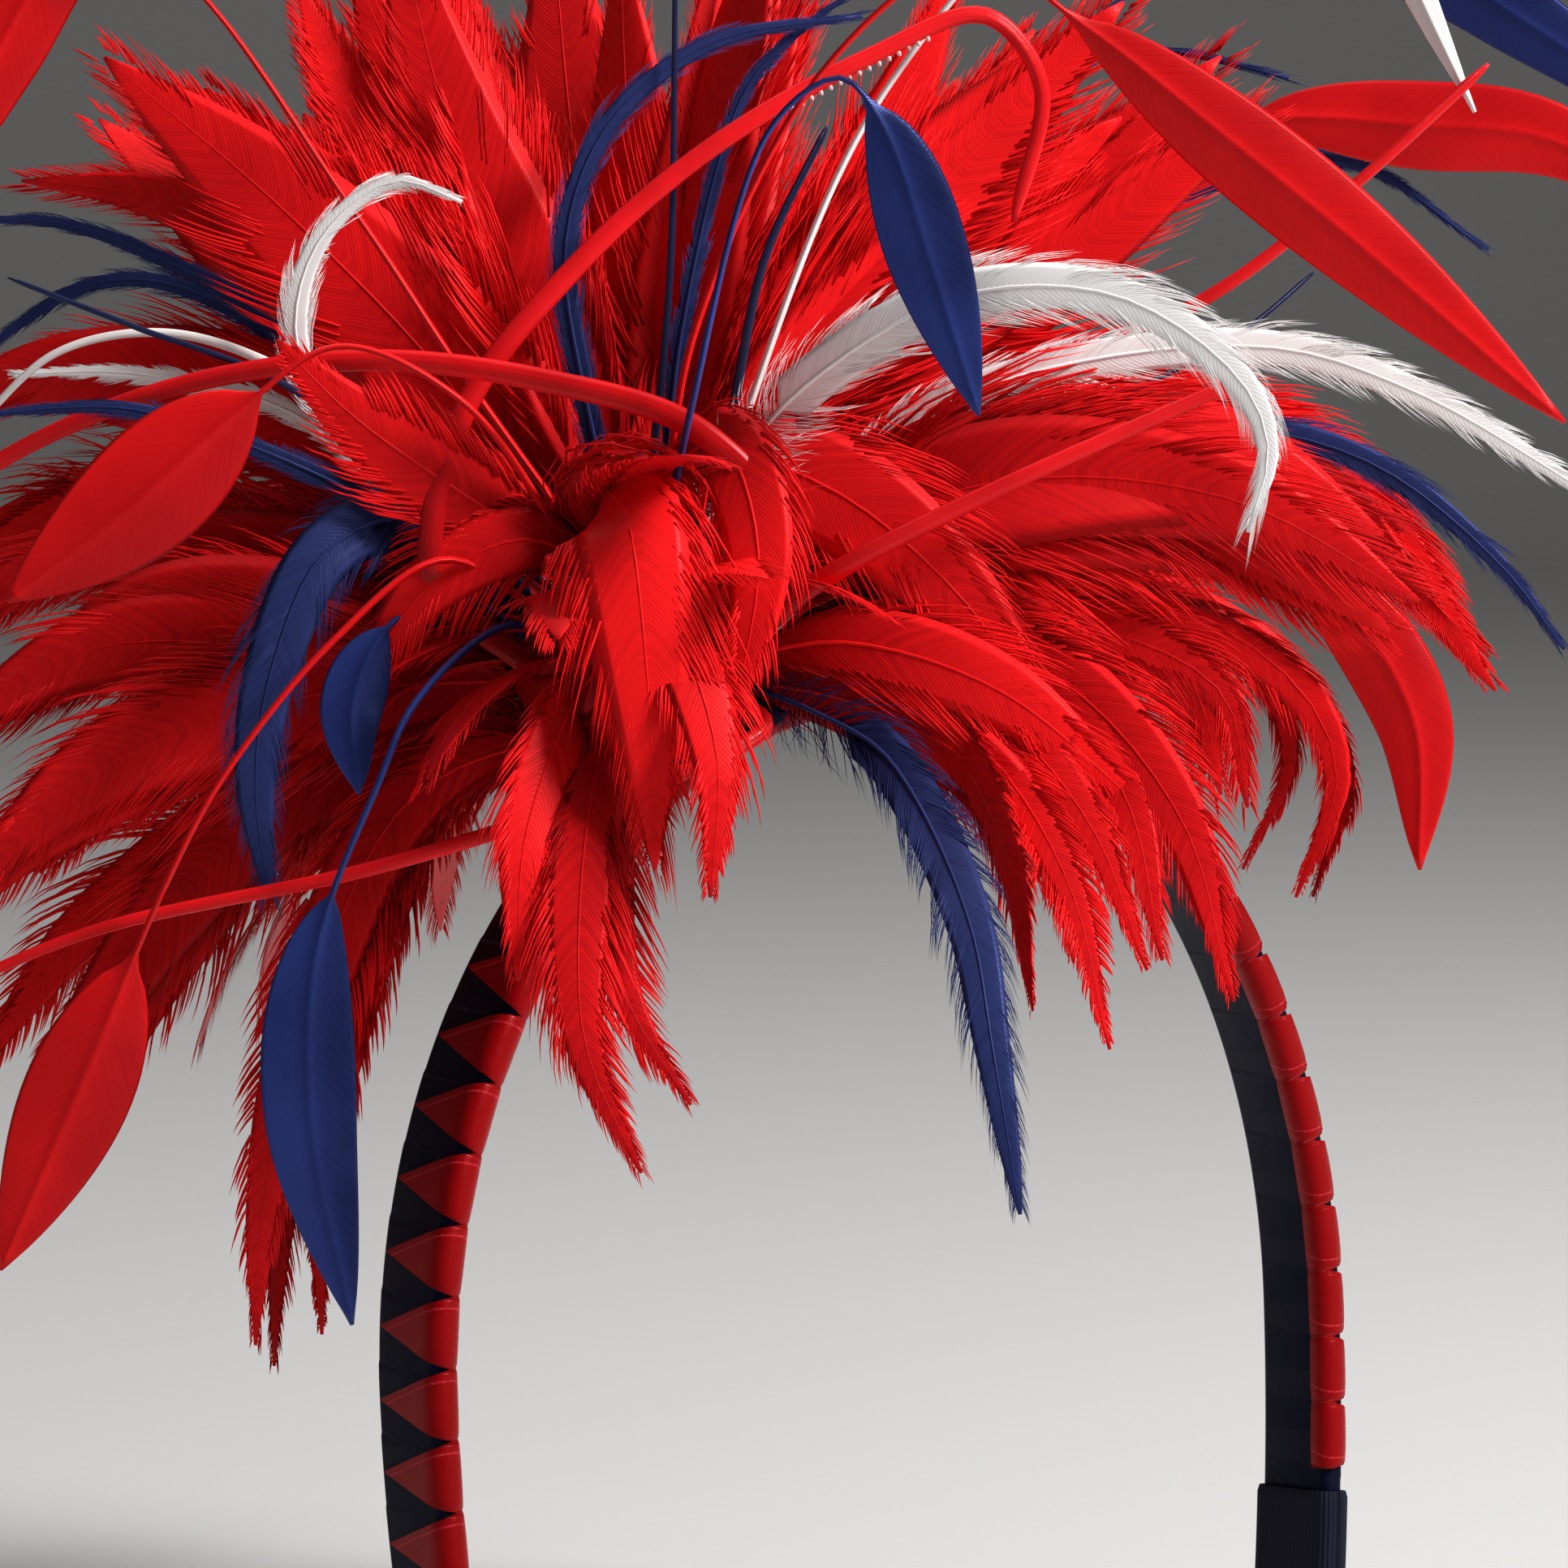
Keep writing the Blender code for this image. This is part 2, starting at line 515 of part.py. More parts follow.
def fused_feather(row, middle, radius):
    """A broad red feather with a route of its own, rooted inside a slice of the knot."""
    route = [placed(step) for step in row["route"]]
    outward = route[0] - middle
    outward = (outward - PAD_AXIS * outward.dot(PAD_AXIS)).normalized()
    line = smooth_route([middle + outward * radius * ROOT_SHARE, *route], BLADE_STEPS)
    points, faces = feather_mesh(line, lambda i: EYE - line[i], "broad",
                                 row["width"] * FEATHER_UNIT, FUSED_BARE)
    return closed_object("blade", points, faces, material("blade_red", "red", 0.55))


def ring_feather(row, azimuth, middle, radius):
    """A broad red feather of a ring: it leaves the knot at the root rise and bends to the tip rise."""
    angle = math.radians(azimuth)
    level_right = (SIGHT_RIGHT - PAD_AXIS * SIGHT_RIGHT.dot(PAD_AXIS)).normalized()
    radial = level_right * math.cos(angle) + PAD_AXIS.cross(level_right) * math.sin(angle)
    length, width = row["length"] * FEATHER_UNIT, row["width"] * FEATHER_UNIT
    point = middle + radial * radius * ROOT_SHARE
    line, faces_up = [point], []
    for i in range(BLADE_STEPS + 1):
        rise = math.radians(row["root_rise"] + (row["tip_rise"] - row["root_rise"]) * i / BLADE_STEPS)
        faces_up.append(PAD_AXIS * math.cos(rise) - radial * math.sin(rise))
        if i < BLADE_STEPS:
            point = point + (radial * math.cos(rise) + PAD_AXIS * math.sin(rise)) * length / BLADE_STEPS
            line.append(point)
    points, faces = feather_mesh(line, lambda i: faces_up[i], "broad", width, RING_BARE)
    return closed_object("blade", points, faces, material("blade_red", "red", 0.55))


def fuse(body, blades):
    """Joins each blade to the body by a Boolean union and takes the blade away."""
    for blade in blades:
        join = body.modifiers.new("join", "BOOLEAN")
        join.operation = "UNION"
        join.object = blade
        bpy.context.view_layer.update()
        drawn = bpy.context.evaluated_depsgraph_get()
        mesh = bpy.data.meshes.new_from_object(body.evaluated_get(drawn))
        body.modifiers.clear()
        body.data = mesh
        bpy.data.objects.remove(blade, do_unlink=True)
    finish = body.data.materials[0]
    body.data.materials.clear()
    body.data.materials.append(finish)
    return body


def plume(name, low, high):
    """One of the three masses: a slice of the knot with its broad feathers fused to it."""
    body = knot_slice(name, low, high)
    share = (low + high) / 2
    middle = KNOT_FOOT + PAD_AXIS * share * KNOT_HEIGHT
    radius = KNOT_RADIUS * math.sqrt(1 - (2 * share - 1) ** 2)
    blades = []
    for values in FUSED:
        row = dict(zip(FUSED_COLUMNS, values))
        if row["mass"] == name:
            blades.append(fused_feather(row, middle, radius))
    for values in RINGS:
        row = dict(zip(RING_COLUMNS, values))
        if row["mass"] == name:
            blades += [ring_feather(row, azimuth, middle, radius) for azimuth in row["azimuths"]]
    return fuse(body, blades)


headband()
red_ribbon()
end_binding("end_binding_right", BINDING_LENGTH, 0.0)
end_binding("end_binding_left", BAND_LENGTH - BINDING_LENGTH, BAND_LENGTH)
feather_base()
GAP_SHARE = CLEARANCE / KNOT_HEIGHT
plume("plume_low", 0.0, LOW_SHARE)
plume("plume_middle", LOW_SHARE + GAP_SHARE, LOW_SHARE + MIDDLE_SHARE)
plume("plume_crown", LOW_SHARE + MIDDLE_SHARE + GAP_SHARE, 1.0)
for single in SINGLES:
    single_feather(dict(zip(SINGLE_COLUMNS, single)))
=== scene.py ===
"""Looks of a feather fascinator on a ribbon-wrapped headband, built round its CAD frame."""
import math

import bpy
import numpy as np
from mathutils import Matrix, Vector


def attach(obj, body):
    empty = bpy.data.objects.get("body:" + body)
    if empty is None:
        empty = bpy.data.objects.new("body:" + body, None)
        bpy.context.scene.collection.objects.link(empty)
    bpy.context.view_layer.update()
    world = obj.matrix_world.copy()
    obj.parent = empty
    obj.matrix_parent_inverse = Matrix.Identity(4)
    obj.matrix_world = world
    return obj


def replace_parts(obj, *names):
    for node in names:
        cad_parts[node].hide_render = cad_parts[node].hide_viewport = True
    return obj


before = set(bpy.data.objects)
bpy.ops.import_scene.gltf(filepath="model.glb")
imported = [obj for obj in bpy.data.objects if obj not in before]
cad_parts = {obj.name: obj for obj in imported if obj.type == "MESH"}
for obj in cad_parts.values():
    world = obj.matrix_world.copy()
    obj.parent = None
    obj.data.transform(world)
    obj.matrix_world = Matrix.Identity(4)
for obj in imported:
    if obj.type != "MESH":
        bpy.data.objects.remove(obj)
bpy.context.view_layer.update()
MM = 0.001

# Headband: a rigid band wound in near-black navy satin ribbon. Each turn of the wrap laps the one below it,
# which leaves a low slanting step on the outer face and round the edges' outer halves.
# It is a rounded section carried along the band's middle line, raised in a saw-tooth along the band.
HEAD_HALF_WIDTH, CROWN_HEIGHT = 76.5 * MM, 95.0 * MM
LEG_LENGTH, LEG_DRAW_IN, LEG_SWEEP = 50.0 * MM, 3.5 * MM, 7.0 * MM
BAND_WIDTH, BAND_THICKNESS, BAND_CORNER = 15.6 * MM, 3.7 * MM, 1.4 * MM
RIBBON_PITCH = 10.0 * MM
ARC_POINTS = 6
NAVY_DEEP, NAVY_THREAD = (0.0035, 0.004, 0.012), (0.012, 0.016, 0.05)
NAVY_RINGS, NAVY_LAP, NAVY_SLANT, PLAIN_END = 520, 0.16 * MM, 0.5, 23.76 * MM


def unit(vectors):
    """Vectors scaled to length one, along the last axis."""
    return vectors / np.maximum(np.linalg.norm(vectors, axis=-1, keepdims=True), 1e-12)


def run_along(points):
    """Distances along a chain of points, from its first one."""
    return np.concatenate([[0.0], np.cumsum(np.linalg.norm(np.diff(points, axis=0), axis=1))])


def mesh_object(name, shape, look, values, sharp=None):
    """A smooth mesh from a shape's points, quads and triangles, with its look, riding on the body.

    values is a dictionary of one number per point, kept as float attributes. Edges that turn by more than
    sharp degrees stay crisp.
    """
    points, *faces = shape
    mesh = bpy.data.meshes.new(name)
    corners = np.concatenate([part.ravel() for part in faces]).astype(np.int32)
    totals = np.concatenate([np.full(len(part), part.shape[1]) for part in faces])
    starts = np.concatenate([[0], np.cumsum(totals)[:-1]]).astype(np.int32)
    mesh.vertices.add(len(points))
    mesh.vertices.foreach_set("co", np.asarray(points, np.float32).ravel())
    mesh.loops.add(len(corners))
    mesh.loops.foreach_set("vertex_index", corners)
    mesh.polygons.add(len(starts))
    mesh.polygons.foreach_set("loop_start", starts)
    mesh.update(calc_edges=True)
    for key, numbers in values.items():
        mesh.attributes.new(key, "FLOAT", "POINT").data.foreach_set("value", np.asarray(numbers, np.float32))
    mesh.shade_smooth()
    if sharp:
        mesh.set_sharp_from_angle(angle=math.radians(sharp))
    mesh.materials.append(look)
    made = bpy.data.objects.new(name, mesh)
    bpy.context.scene.collection.objects.link(made)
    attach(made, "root")
    return made


def with_ends(values, first, last):
    """The numbers of a sweep's rings in one row, followed by those of the middles of its two ends."""
    return np.concatenate([np.ravel(values), [first, last]])


def sweep(rings):
    """Points, quads and triangles of rings (count, sides, 3) joined into one closed surface with fanned ends.

    The rings run anticlockwise seen against the direction of the sweep, so the faces look outwards.
    """
    count, sides = rings.shape[:2]
    points = np.vstack([rings.reshape(-1, 3), rings[0].mean(0)[None], rings[-1].mean(0)[None]])
    i, j = np.meshgrid(np.arange(count - 1), np.arange(sides), indexing="ij")
    near, far = (i * sides + j).ravel(), (i * sides + (j + 1) % sides).ravel()
    quads = np.stack([near, far, far + sides, near + sides], 1)
    side, after = np.arange(sides), (np.arange(sides) + 1) % sides
    top = (count - 1) * sides
    first = np.stack([after, side, np.full(sides, count * sides)], 1)
    last = np.stack([side + top, after + top, np.full(sides, count * sides + 1)], 1)
    return points, quads, np.vstack([first, last])


def band_line(count):
    """Frames of the band's inner middle line: an ellipse over the head with legs that draw in a little."""
    share = np.linspace(2.0, -2.0, count)
    side = np.where(share > 0, -1.0, 1.0)
    down = np.clip(np.abs(share) - 1, 0, 1)
    turn = np.clip(np.abs(share), 0, 1) * math.pi / 2
    x = side * (HEAD_HALF_WIDTH * np.sin(turn) - LEG_DRAW_IN * down**2)
    z = -CROWN_HEIGHT * (1 - np.cos(turn)) - LEG_LENGTH * down
    drop = -z / (CROWN_HEIGHT + LEG_LENGTH)
    point = np.stack([x, -LEG_SWEEP * drop**2, z], 1)
    along = unit(np.gradient(point, axis=0))
    out = unit(np.stack([-along[:, 2], np.zeros(count), along[:, 0]], 1))
    return run_along(point), np.stack([point, along, out, np.cross(along, out)], 1)


BAND_RUN, BAND_FRAMES = band_line(2001)
BAND_LENGTH = BAND_RUN[-1]


def band_frames(runs):
    """Point, along, out and front-ward directions at lengths along the band from the wearer's right tip."""
    flat = BAND_FRAMES.reshape(len(BAND_RUN), -1)
    return np.stack([np.interp(runs, BAND_RUN, flat[:, c]) for c in range(12)], 1).reshape(-1, 4, 3)


def band_section(grow):
    """Corners of the band's section as (towards the front, outwards) pairs, anticlockwise, grown by a lift.

    Each corner is an arc of ARC_POINTS points. The first is the front one on the outer face.
    """
    half, low, high, bend = BAND_WIDTH / 2 + grow, -grow, BAND_THICKNESS + grow, BAND_CORNER + grow
    section = []
    for y, z, first in ((half - bend, high - bend, 0), (-half + bend, high - bend, 90),
                        (-half + bend, low + bend, 180), (half - bend, low + bend, 270)):
        for turn in np.linspace(0, 90, ARC_POINTS):
            angle = math.radians(first + turn)
            section.append((y + bend * math.cos(angle), z + bend * math.sin(angle)))
    return np.array(section)


def add_node(tree, kind, inputs, **settings):
    """A new node with its settings, and with its inputs set to values or linked from sockets."""
    node = tree.nodes.new(kind)
    for key, value in settings.items():
        setattr(node, key, value)
    for key, value in inputs.items():
        if isinstance(value, bpy.types.NodeSocket):
            tree.links.new(value, node.inputs[key])
        else:
            node.inputs[key].default_value = value
    return node


def math_node(tree, operation, *terms):
    """A Math node's output from numbers or sockets."""
    return add_node(tree, "ShaderNodeMath", dict(enumerate(terms)), operation=operation).outputs[0]


def waves_group():
    """Fine parallel ridges: (1 + sin(2 pi (distance + waver) / spacing)) / 2, in millimetres."""
    group = bpy.data.node_groups.new("fine_ridges", "ShaderNodeTree")
    for key, value in (("Distance", 0.0), ("Spacing", 0.3), ("Waver", 0.0)):
        group.interface.new_socket(key, in_out="INPUT", socket_type="NodeSocketFloat").default_value = value
    group.interface.new_socket("Height", in_out="OUTPUT", socket_type="NodeSocketFloat")
    entry, leave = group.nodes.new("NodeGroupInput"), group.nodes.new("NodeGroupOutput")
    pushed = math_node(group, "ADD", entry.outputs["Distance"], entry.outputs["Waver"])
    turns = math_node(group, "DIVIDE", pushed, entry.outputs["Spacing"])
    wave = math_node(group, "SINE", math_node(group, "MULTIPLY", turns, 2 * math.pi))
    group.links.new(math_node(group, "MULTIPLY_ADD", wave, 0.5, 0.5), leave.inputs["Height"])
    return group


FINE_RIDGES = waves_group()


def principled(name, colour, roughness, **settings):
    """A material's tree and its Principled shader, with colour, roughness and other sockets set by name."""
    look = bpy.data.materials.new(name)
    look.use_nodes = True
    shader = look.node_tree.nodes["Principled BSDF"]
    shader.inputs["Base Color"].default_value = (*colour, 1.0)
    shader.inputs["Roughness"].default_value = roughness
    for key, value in settings.items():
        shader.inputs[key.replace("_", " ")].default_value = value
    return look, look.node_tree, shader


def attribute(tree, name):
    """The number kept at each point under a name."""
    return add_node(tree, "ShaderNodeAttribute", {}, attribute_name=name).outputs["Fac"]


def noise(tree, scale, detail=2.0):
    """A noise value over the object's own coordinates, which are metres."""
    place = tree.nodes.new("ShaderNodeTexCoord").outputs["Object"]
    inputs = {"Vector": place, "Scale": scale, "Detail": detail}
    return add_node(tree, "ShaderNodeTexNoise", inputs).outputs["Fac"]


def ridges(tree, distance, spacing, waver=0.0):
    """The height of fine ridges along a distance in millimetres."""
    inputs = {"Distance": distance, "Spacing": spacing, "Waver": waver}
    return add_node(tree, "ShaderNodeGroup", inputs, node_tree=FINE_RIDGES).outputs["Height"]


def bump(tree, shader, height, depth, strength):
    """Bends the shader's normal by a height that is worth depth in metres."""
    node = add_node(tree, "ShaderNodeBump", {"Height": height, "Distance": depth, "Strength": strength})
    tree.links.new(node.outputs["Normal"], shader.inputs["Normal"])


def blend(tree, shader, factor, low, high):
    """Sets the base colour between two colours by a factor."""
    inputs = {"Factor": factor, "A": (*low, 1.0), "B": (*high, 1.0)}
    node = add_node(tree, "ShaderNodeMix", inputs, data_type="RGBA")
    tree.links.new(node.outputs["Result"], shader.inputs["Base Color"])


def glossy(name, colour, roughness, shine, pale):
    """A Principled material whose highlights take the colour's own hue, with a pale share of white."""
    tint = [pale + (1 - pale) * value / max(colour) for value in colour]
    return principled(name, colour, roughness, Specular_IOR_Level=shine, Specular_Tint=(*tint, 1.0))


def satin(name, face, thread, roughness, shine):
    """Satin ribbon: a smooth glossy face with threads along it and a faintly paler selvedge line."""
    look, tree, shader = glossy(name, face, roughness, shine, 0.12)
    edge = attribute(tree, "edge")
    threads = ridges(tree, edge, 0.28, math_node(tree, "MULTIPLY", noise(tree, 600.0), 0.12))
    line = math_node(tree, "COMPARE", edge, 1.0, 0.14)
    dots = math_node(tree, "GREATER_THAN", noise(tree, 2600.0, 0.0), 0.52)
    selvedge = math_node(tree, "MULTIPLY", line, math_node(tree, "MULTIPLY_ADD", dots, 0.6, 0.4))
    blend(tree, shader, selvedge, face, thread)
    height = math_node(tree, "MULTIPLY_ADD", selvedge, 2.0, threads)
    bump(tree, shader, height, 0.00004, 0.55)
    return look


def navy_wrap():
    """The wound band: the section lifted by NAVY_LAP times the share of a turn, slanted over the face."""
    runs = np.linspace(0.0, BAND_LENGTH, NAVY_RINGS)
    place = band_frames(runs)
    section = band_section(0.0)
    corner = unit(section - np.array([0.0, BAND_THICKNESS / 2]))
    margin = (BAND_LENGTH % RIBBON_PITCH) / 2
    slant = (section[:, 0] / BAND_WIDTH + 0.5) * NAVY_SLANT
    within = ((runs[:, None] - margin) / RIBBON_PITCH + slant - 0.5) % 1.0
    wound = np.minimum(runs, BAND_LENGTH - runs) > PLAIN_END
    step = NAVY_LAP * within * wound[:, None] * (corner[:, 1] > 0.1)
    section = section + corner * step[..., None]
    rings = place[:, None, 0] + place[:, None, 3] * section[..., 0:1] + place[:, None, 2] * section[..., 1:2]
    look = satin("navy_satin", NAVY_DEEP, NAVY_THREAD, 0.42, 0.10)
    edge = with_ends(within * RIBBON_PITCH / MM, 5.0, 5.0)
    return mesh_object("navy_wrap", sweep(rings), look, {"edge": edge})


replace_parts(navy_wrap(), "headband")

# Red ribbon: satin wound in even turns with the navy, a row of teeth on the outer face and low cushions on
# the front edge. It is a thin closed strip that runs RIBBON_TUCK under the band, and whose reach over the
# face, measured from the front edge, rises and falls once a turn.
RIBBON_CLEARANCE, RIBBON_THICKNESS, RIBBON_START = 0.3 * MM, 0.5 * MM, 22.3 * MM
RIBBON_REACH, RIBBON_VALLEY, RIBBON_TUCK = 13.4 * MM, -2.6 * MM, 2.6 * MM
CUSHION_LOW, CUSHION_POWER = 0.45, 0.35
RED_SATIN, RED_THREAD = (0.24, 0.001, 0.002), (0.50, 0.02, 0.03)
ROWS_PER_TURN, RIBBON_COLUMNS = 20, 30


def red_ribbon():
    """The strip's columns run from the tuck under the front edge, round it and over the face to the tooth."""
    turns = int((BAND_LENGTH - 2 * RIBBON_START) / RIBBON_PITCH)
    margin = (BAND_LENGTH - turns * RIBBON_PITCH) / 2
    rows = turns * ROWS_PER_TURN + 1
    turn = np.arange(rows) / ROWS_PER_TURN
    place = band_frames(margin + turn * RIBBON_PITCH)
    within = turn % 1.0
    rise = RIBBON_REACH - RIBBON_VALLEY
    reach = RIBBON_VALLEY + rise * (1 - np.abs(2 * within - 1))
    cushion = np.clip(np.sin(math.pi * within), 0, 1) ** CUSHION_POWER
    sheets = []
    for lift in (RIBBON_THICKNESS, 0.0):
        grow = RIBBON_CLEARANCE + lift * (CUSHION_LOW + (1 - CUSHION_LOW) * cushion)
        columns = []
        for r in range(rows):
            front, under = np.split(band_section(grow[r]), [ARC_POINTS, 3 * ARC_POINTS])[::2]
            tuck, last = [BAND_WIDTH / 2 - RIBBON_TUCK, under[0, 1]], [-BAND_WIDTH / 2, front[-1, 1]]
            path = np.vstack([tuck, under, front, last])
            far = run_along(path)
            kept = np.linspace(0, far[-2] - BAND_CORNER + reach[r], RIBBON_COLUMNS)
            columns.append(np.stack([np.interp(kept, far, path[:, c]) for c in range(2)], 1))
        sheets.append(np.array(columns))
    loop = np.concatenate([sheets[0], sheets[1][:, ::-1]], 1)
    rings = place[:, None, 0] + place[:, None, 3] * loop[..., 0:1] + place[:, None, 2] * loop[..., 1:2]
    slope = 0.5 * RIBBON_PITCH / rise
    upper_reach = RIBBON_VALLEY + rise * 2 * (1 - within[:, None])
    depth = BAND_WIDTH / 2 - loop[..., 0]
    edge = np.maximum((upper_reach - depth) * slope / math.hypot(1, slope) / MM, 0.0)
    look, values = satin("red_satin", RED_SATIN, RED_THREAD, 0.34, 0.42), {"edge": with_ends(edge, 5.0, 5.0)}
    return mesh_object("red_wrap", sweep(rings), look, values, sharp=50)


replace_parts(red_ribbon(), "red_ribbon")

# End bindings: navy grosgrain ribbon bound over each tip of the band, with fine ribs along the band.
# Each is a rounded sleeve that draws in at its mouth and closes beyond the tip. A row of the two profiles is
# a station along the sleeve, the sleeve's size there and the millimetres that it lies beyond the station.
BINDING_LENGTH, BINDING_LIFT, BINDING_STATIONS = 22.0 * MM, 1.1 * MM, 24
BINDING_MOUTH = ((0, 0.35, 0.0), (0, 0.9, 0.0))
BINDING_TIP = ((23, 0.96, 0.6), (23, 0.75, 1.0), (23, 0.3, 1.1))
GROSGRAIN, RIB_SPACING = (0.006, 0.007, 0.018), 0.75


def binding(name, first, last):
    """The sleeve: the band's section grown outwards, closed over the tip, with a turned-in mouth."""
    look, tree, shader = principled(name + "_look", GROSGRAIN, 0.75, Specular_IOR_Level=0.15)
    bump(tree, shader, ridges(tree, attribute(tree, "round"), RIB_SPACING), 0.00016, 0.8)
    place = band_frames(np.linspace(first, last, BINDING_STATIONS))
    outer, centre = band_section(BINDING_LIFT), np.array([0.0, BAND_THICKNESS / 2])
    forward = 1.0 if last > first else -1.0
    sleeve = [(station, 1.0, 0.0) for station in range(1, BINDING_STATIONS)]
    rings = []
    for station, size, beyond in (*BINDING_MOUTH, *sleeve, *BINDING_TIP):
        point, along, out, cross = place[station]
        scaled = centre + (outer - centre) * (1 - (1 - size) * np.array([0.25, 0.8]))
        rings.append(point + along * forward * beyond * MM + cross * scaled[:, 0:1] + out * scaled[:, 1:2])
    rings = np.array(rings if forward > 0 else rings[::-1])
    around = with_ends(np.tile(run_along(outer) / MM, len(rings)), 0.0, 0.0)
    return mesh_object(name, sweep(rings), look, {"round": around}, sharp=55)


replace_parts(binding("binding_right", BINDING_LENGTH, 0.0), "end_binding_right")
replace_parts(binding("binding_left", BAND_LENGTH - BINDING_LENGTH, BAND_LENGTH), "end_binding_left")

# Feather base: the oval pad of stiffened navy felt that the feathers are fixed to, under the spray.
# It keeps its CAD solid, with felt for its surface.
FELT = (0.008, 0.009, 0.020)
felt, felt_tree, felt_shader = principled("navy_felt", FELT, 0.95, Specular_IOR_Level=0.05)
bump(felt_tree, felt_shader, noise(felt_tree, 1500.0, 4.0), 0.0002, 0.6)
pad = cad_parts["feather_base"].data
pad.materials.clear()
pad.materials.append(felt)

# Quills: feathers stripped to their shafts, oval and glossy, thick at the knot and fine at the tip.
# Every route lists the points that a feather passes, as across, up and toward the eye from the knot, in
# steps of ROUTE_UNIT. Each quill is an oval section, flatter below, carried along its smoothed route.
KNOT_RADIUS, KNOT_HEIGHT, SEAT_GAP = 20.0 * MM, 24.0 * MM, 0.7 * MM
PAD_THICKNESS, PAD_TILT = 3.0 * MM, math.radians(27.5)
PAD_AXIS = np.array([-math.sin(PAD_TILT), 0.0, math.cos(PAD_TILT)])
SIGHT_TURN, SIGHT_RISE = math.radians(-34.0), math.radians(5.0)
SIGHT_LEVEL = np.array([math.sin(SIGHT_TURN), -math.cos(SIGHT_TURN), 0.0])
SIGHT_BACK = SIGHT_LEVEL * math.cos(SIGHT_RISE) + np.array([0.0, 0.0, math.sin(SIGHT_RISE)])
SIGHT_RIGHT = np.array([math.cos(SIGHT_TURN), math.sin(SIGHT_TURN), 0.0])
SIGHT_TOP = np.cross(SIGHT_BACK, SIGHT_RIGHT)
TARGET = SIGHT_RIGHT * (-12.0 * MM) + SIGHT_TOP * (-12.5 * MM)
EYE = TARGET + SIGHT_BACK
ROUTE_UNIT, ROUTE_FINE = 0.976 * MM, 24
PAD_TURN = math.atan(math.tan(PAD_TILT) * HEAD_HALF_WIDTH / CROWN_HEIGHT)
PAD_SEAT = (np.array([-HEAD_HALF_WIDTH * math.sin(PAD_TURN), 0.0, -CROWN_HEIGHT * (1 - math.cos(PAD_TURN))])
            + PAD_AXIS * (BAND_THICKNESS + 2 * RIBBON_CLEARANCE + RIBBON_THICKNESS))
KNOT_FOOT = PAD_SEAT + PAD_AXIS * (PAD_THICKNESS + RIBBON_CLEARANCE)
KNOT = KNOT_FOOT + PAD_AXIS * KNOT_HEIGHT / 2
QUILL_COLUMNS = ("name", "colour", "width", "node", "route")
QUILLS = (
    ("loop_quill_shaft", "red", 3.8, "loop_quill", ((-14, -3, 8), (-30, 8, 19), (-26, 32, 19), (-11, 52, 17),
        (9, 70, 14), (33, 84, 10), (50, 90, 8), (58, 80, 6), (54, 60, 4))),
    ("arc_quill_shaft", "red", 4.0, "arc_quill", ((9, 5, 15), (20, 16, 28), (8, 30, 30), (-14, 37, 26),
        (-40, 40, 20), (-68, 36, 14), (-92, 26, 8), (-108, 14, 4))),
    ("long_quill_shaft", "red", 3.2, "long_quill", ((13, 0, 11), (26, 8, 23), (49, 20, 24), (89, 38, 24))),
    ("low_quill_shaft", "red", 2.6, "low_quill", ((9, -7, 14), (18, -13, 24), (8, -19, 30), (-10, -25, 32),
        (-40, -34, 30), (-80, -43, 26), (-108, -55, 22))),
    ("blunt_quill_shaft", "red", 2.6, "blunt_quill", ((13, 8, -4), (40, 30, -4), (82, 49, 3), (103, 65, 6),
        (123, 83, 8))),
    ("white_quill_shaft", "white", 1.8, "white_quill_left", ((-12, 9, 0), (-34, 26, 4), (-55, 40, 9),
        (-70, 44, 10), (-85, 41, 10), (-98, 29, 8))),
    ("navy_centre_shaft", "navy", 1.8, "navy_centre_thin", ((6, 10, 6), (13, 32, 13), (18, 55, 18),
        (27, 74, 20))),
    ("navy_thin_left", "navy", 1.3, None, ((-12, 6, 8), (-51, 36, 14), (-74, 45, 16), (-92, 52, 16))),
    ("navy_thin_top", "navy", 1.3, None, ((0, 10, 6), (4, 50, 8), (5, 100, 8))),
    ("navy_thin_right", "navy", 1.3, None, ((10, 6, -6), (60, 30, -8), (87, 44, -8), (98, 53, -8))),
)
QUILL_COLOURS = {"red": (0.80, 0.008, 0.012), "navy": (0.010, 0.013, 0.045), "white": (0.80, 0.74, 0.72)}
QUILL_SIDES, QUILL_TIP, QUILL_STEPS = 12, np.array([0.92, 0.8, 0.6, 0.3]), 110


def rows_of(columns, table):
    """The rows of a table as dictionaries by its columns' names."""
    return [dict(zip(columns, row)) for row in table]


def placed(step):
    """A route's point in metres: across and up at the knot's distance, then drawn toward the eye."""
    across, up, toward = (value * ROUTE_UNIT for value in step)
    flat = KNOT + SIGHT_RIGHT * across + SIGHT_TOP * up
    return flat + unit(EYE - flat) * toward


def seated(point):
    """The point just off the knot's surface that lies in a point's direction from the knot's middle."""
    direction = unit(point - KNOT)
    rise = direction @ PAD_AXIS
    flat = math.sqrt(max(1 - rise**2, 0.0))
    return KNOT + direction / math.hypot(rise / (KNOT_HEIGHT / 2 + SEAT_GAP), flat / (KNOT_RADIUS + SEAT_GAP))


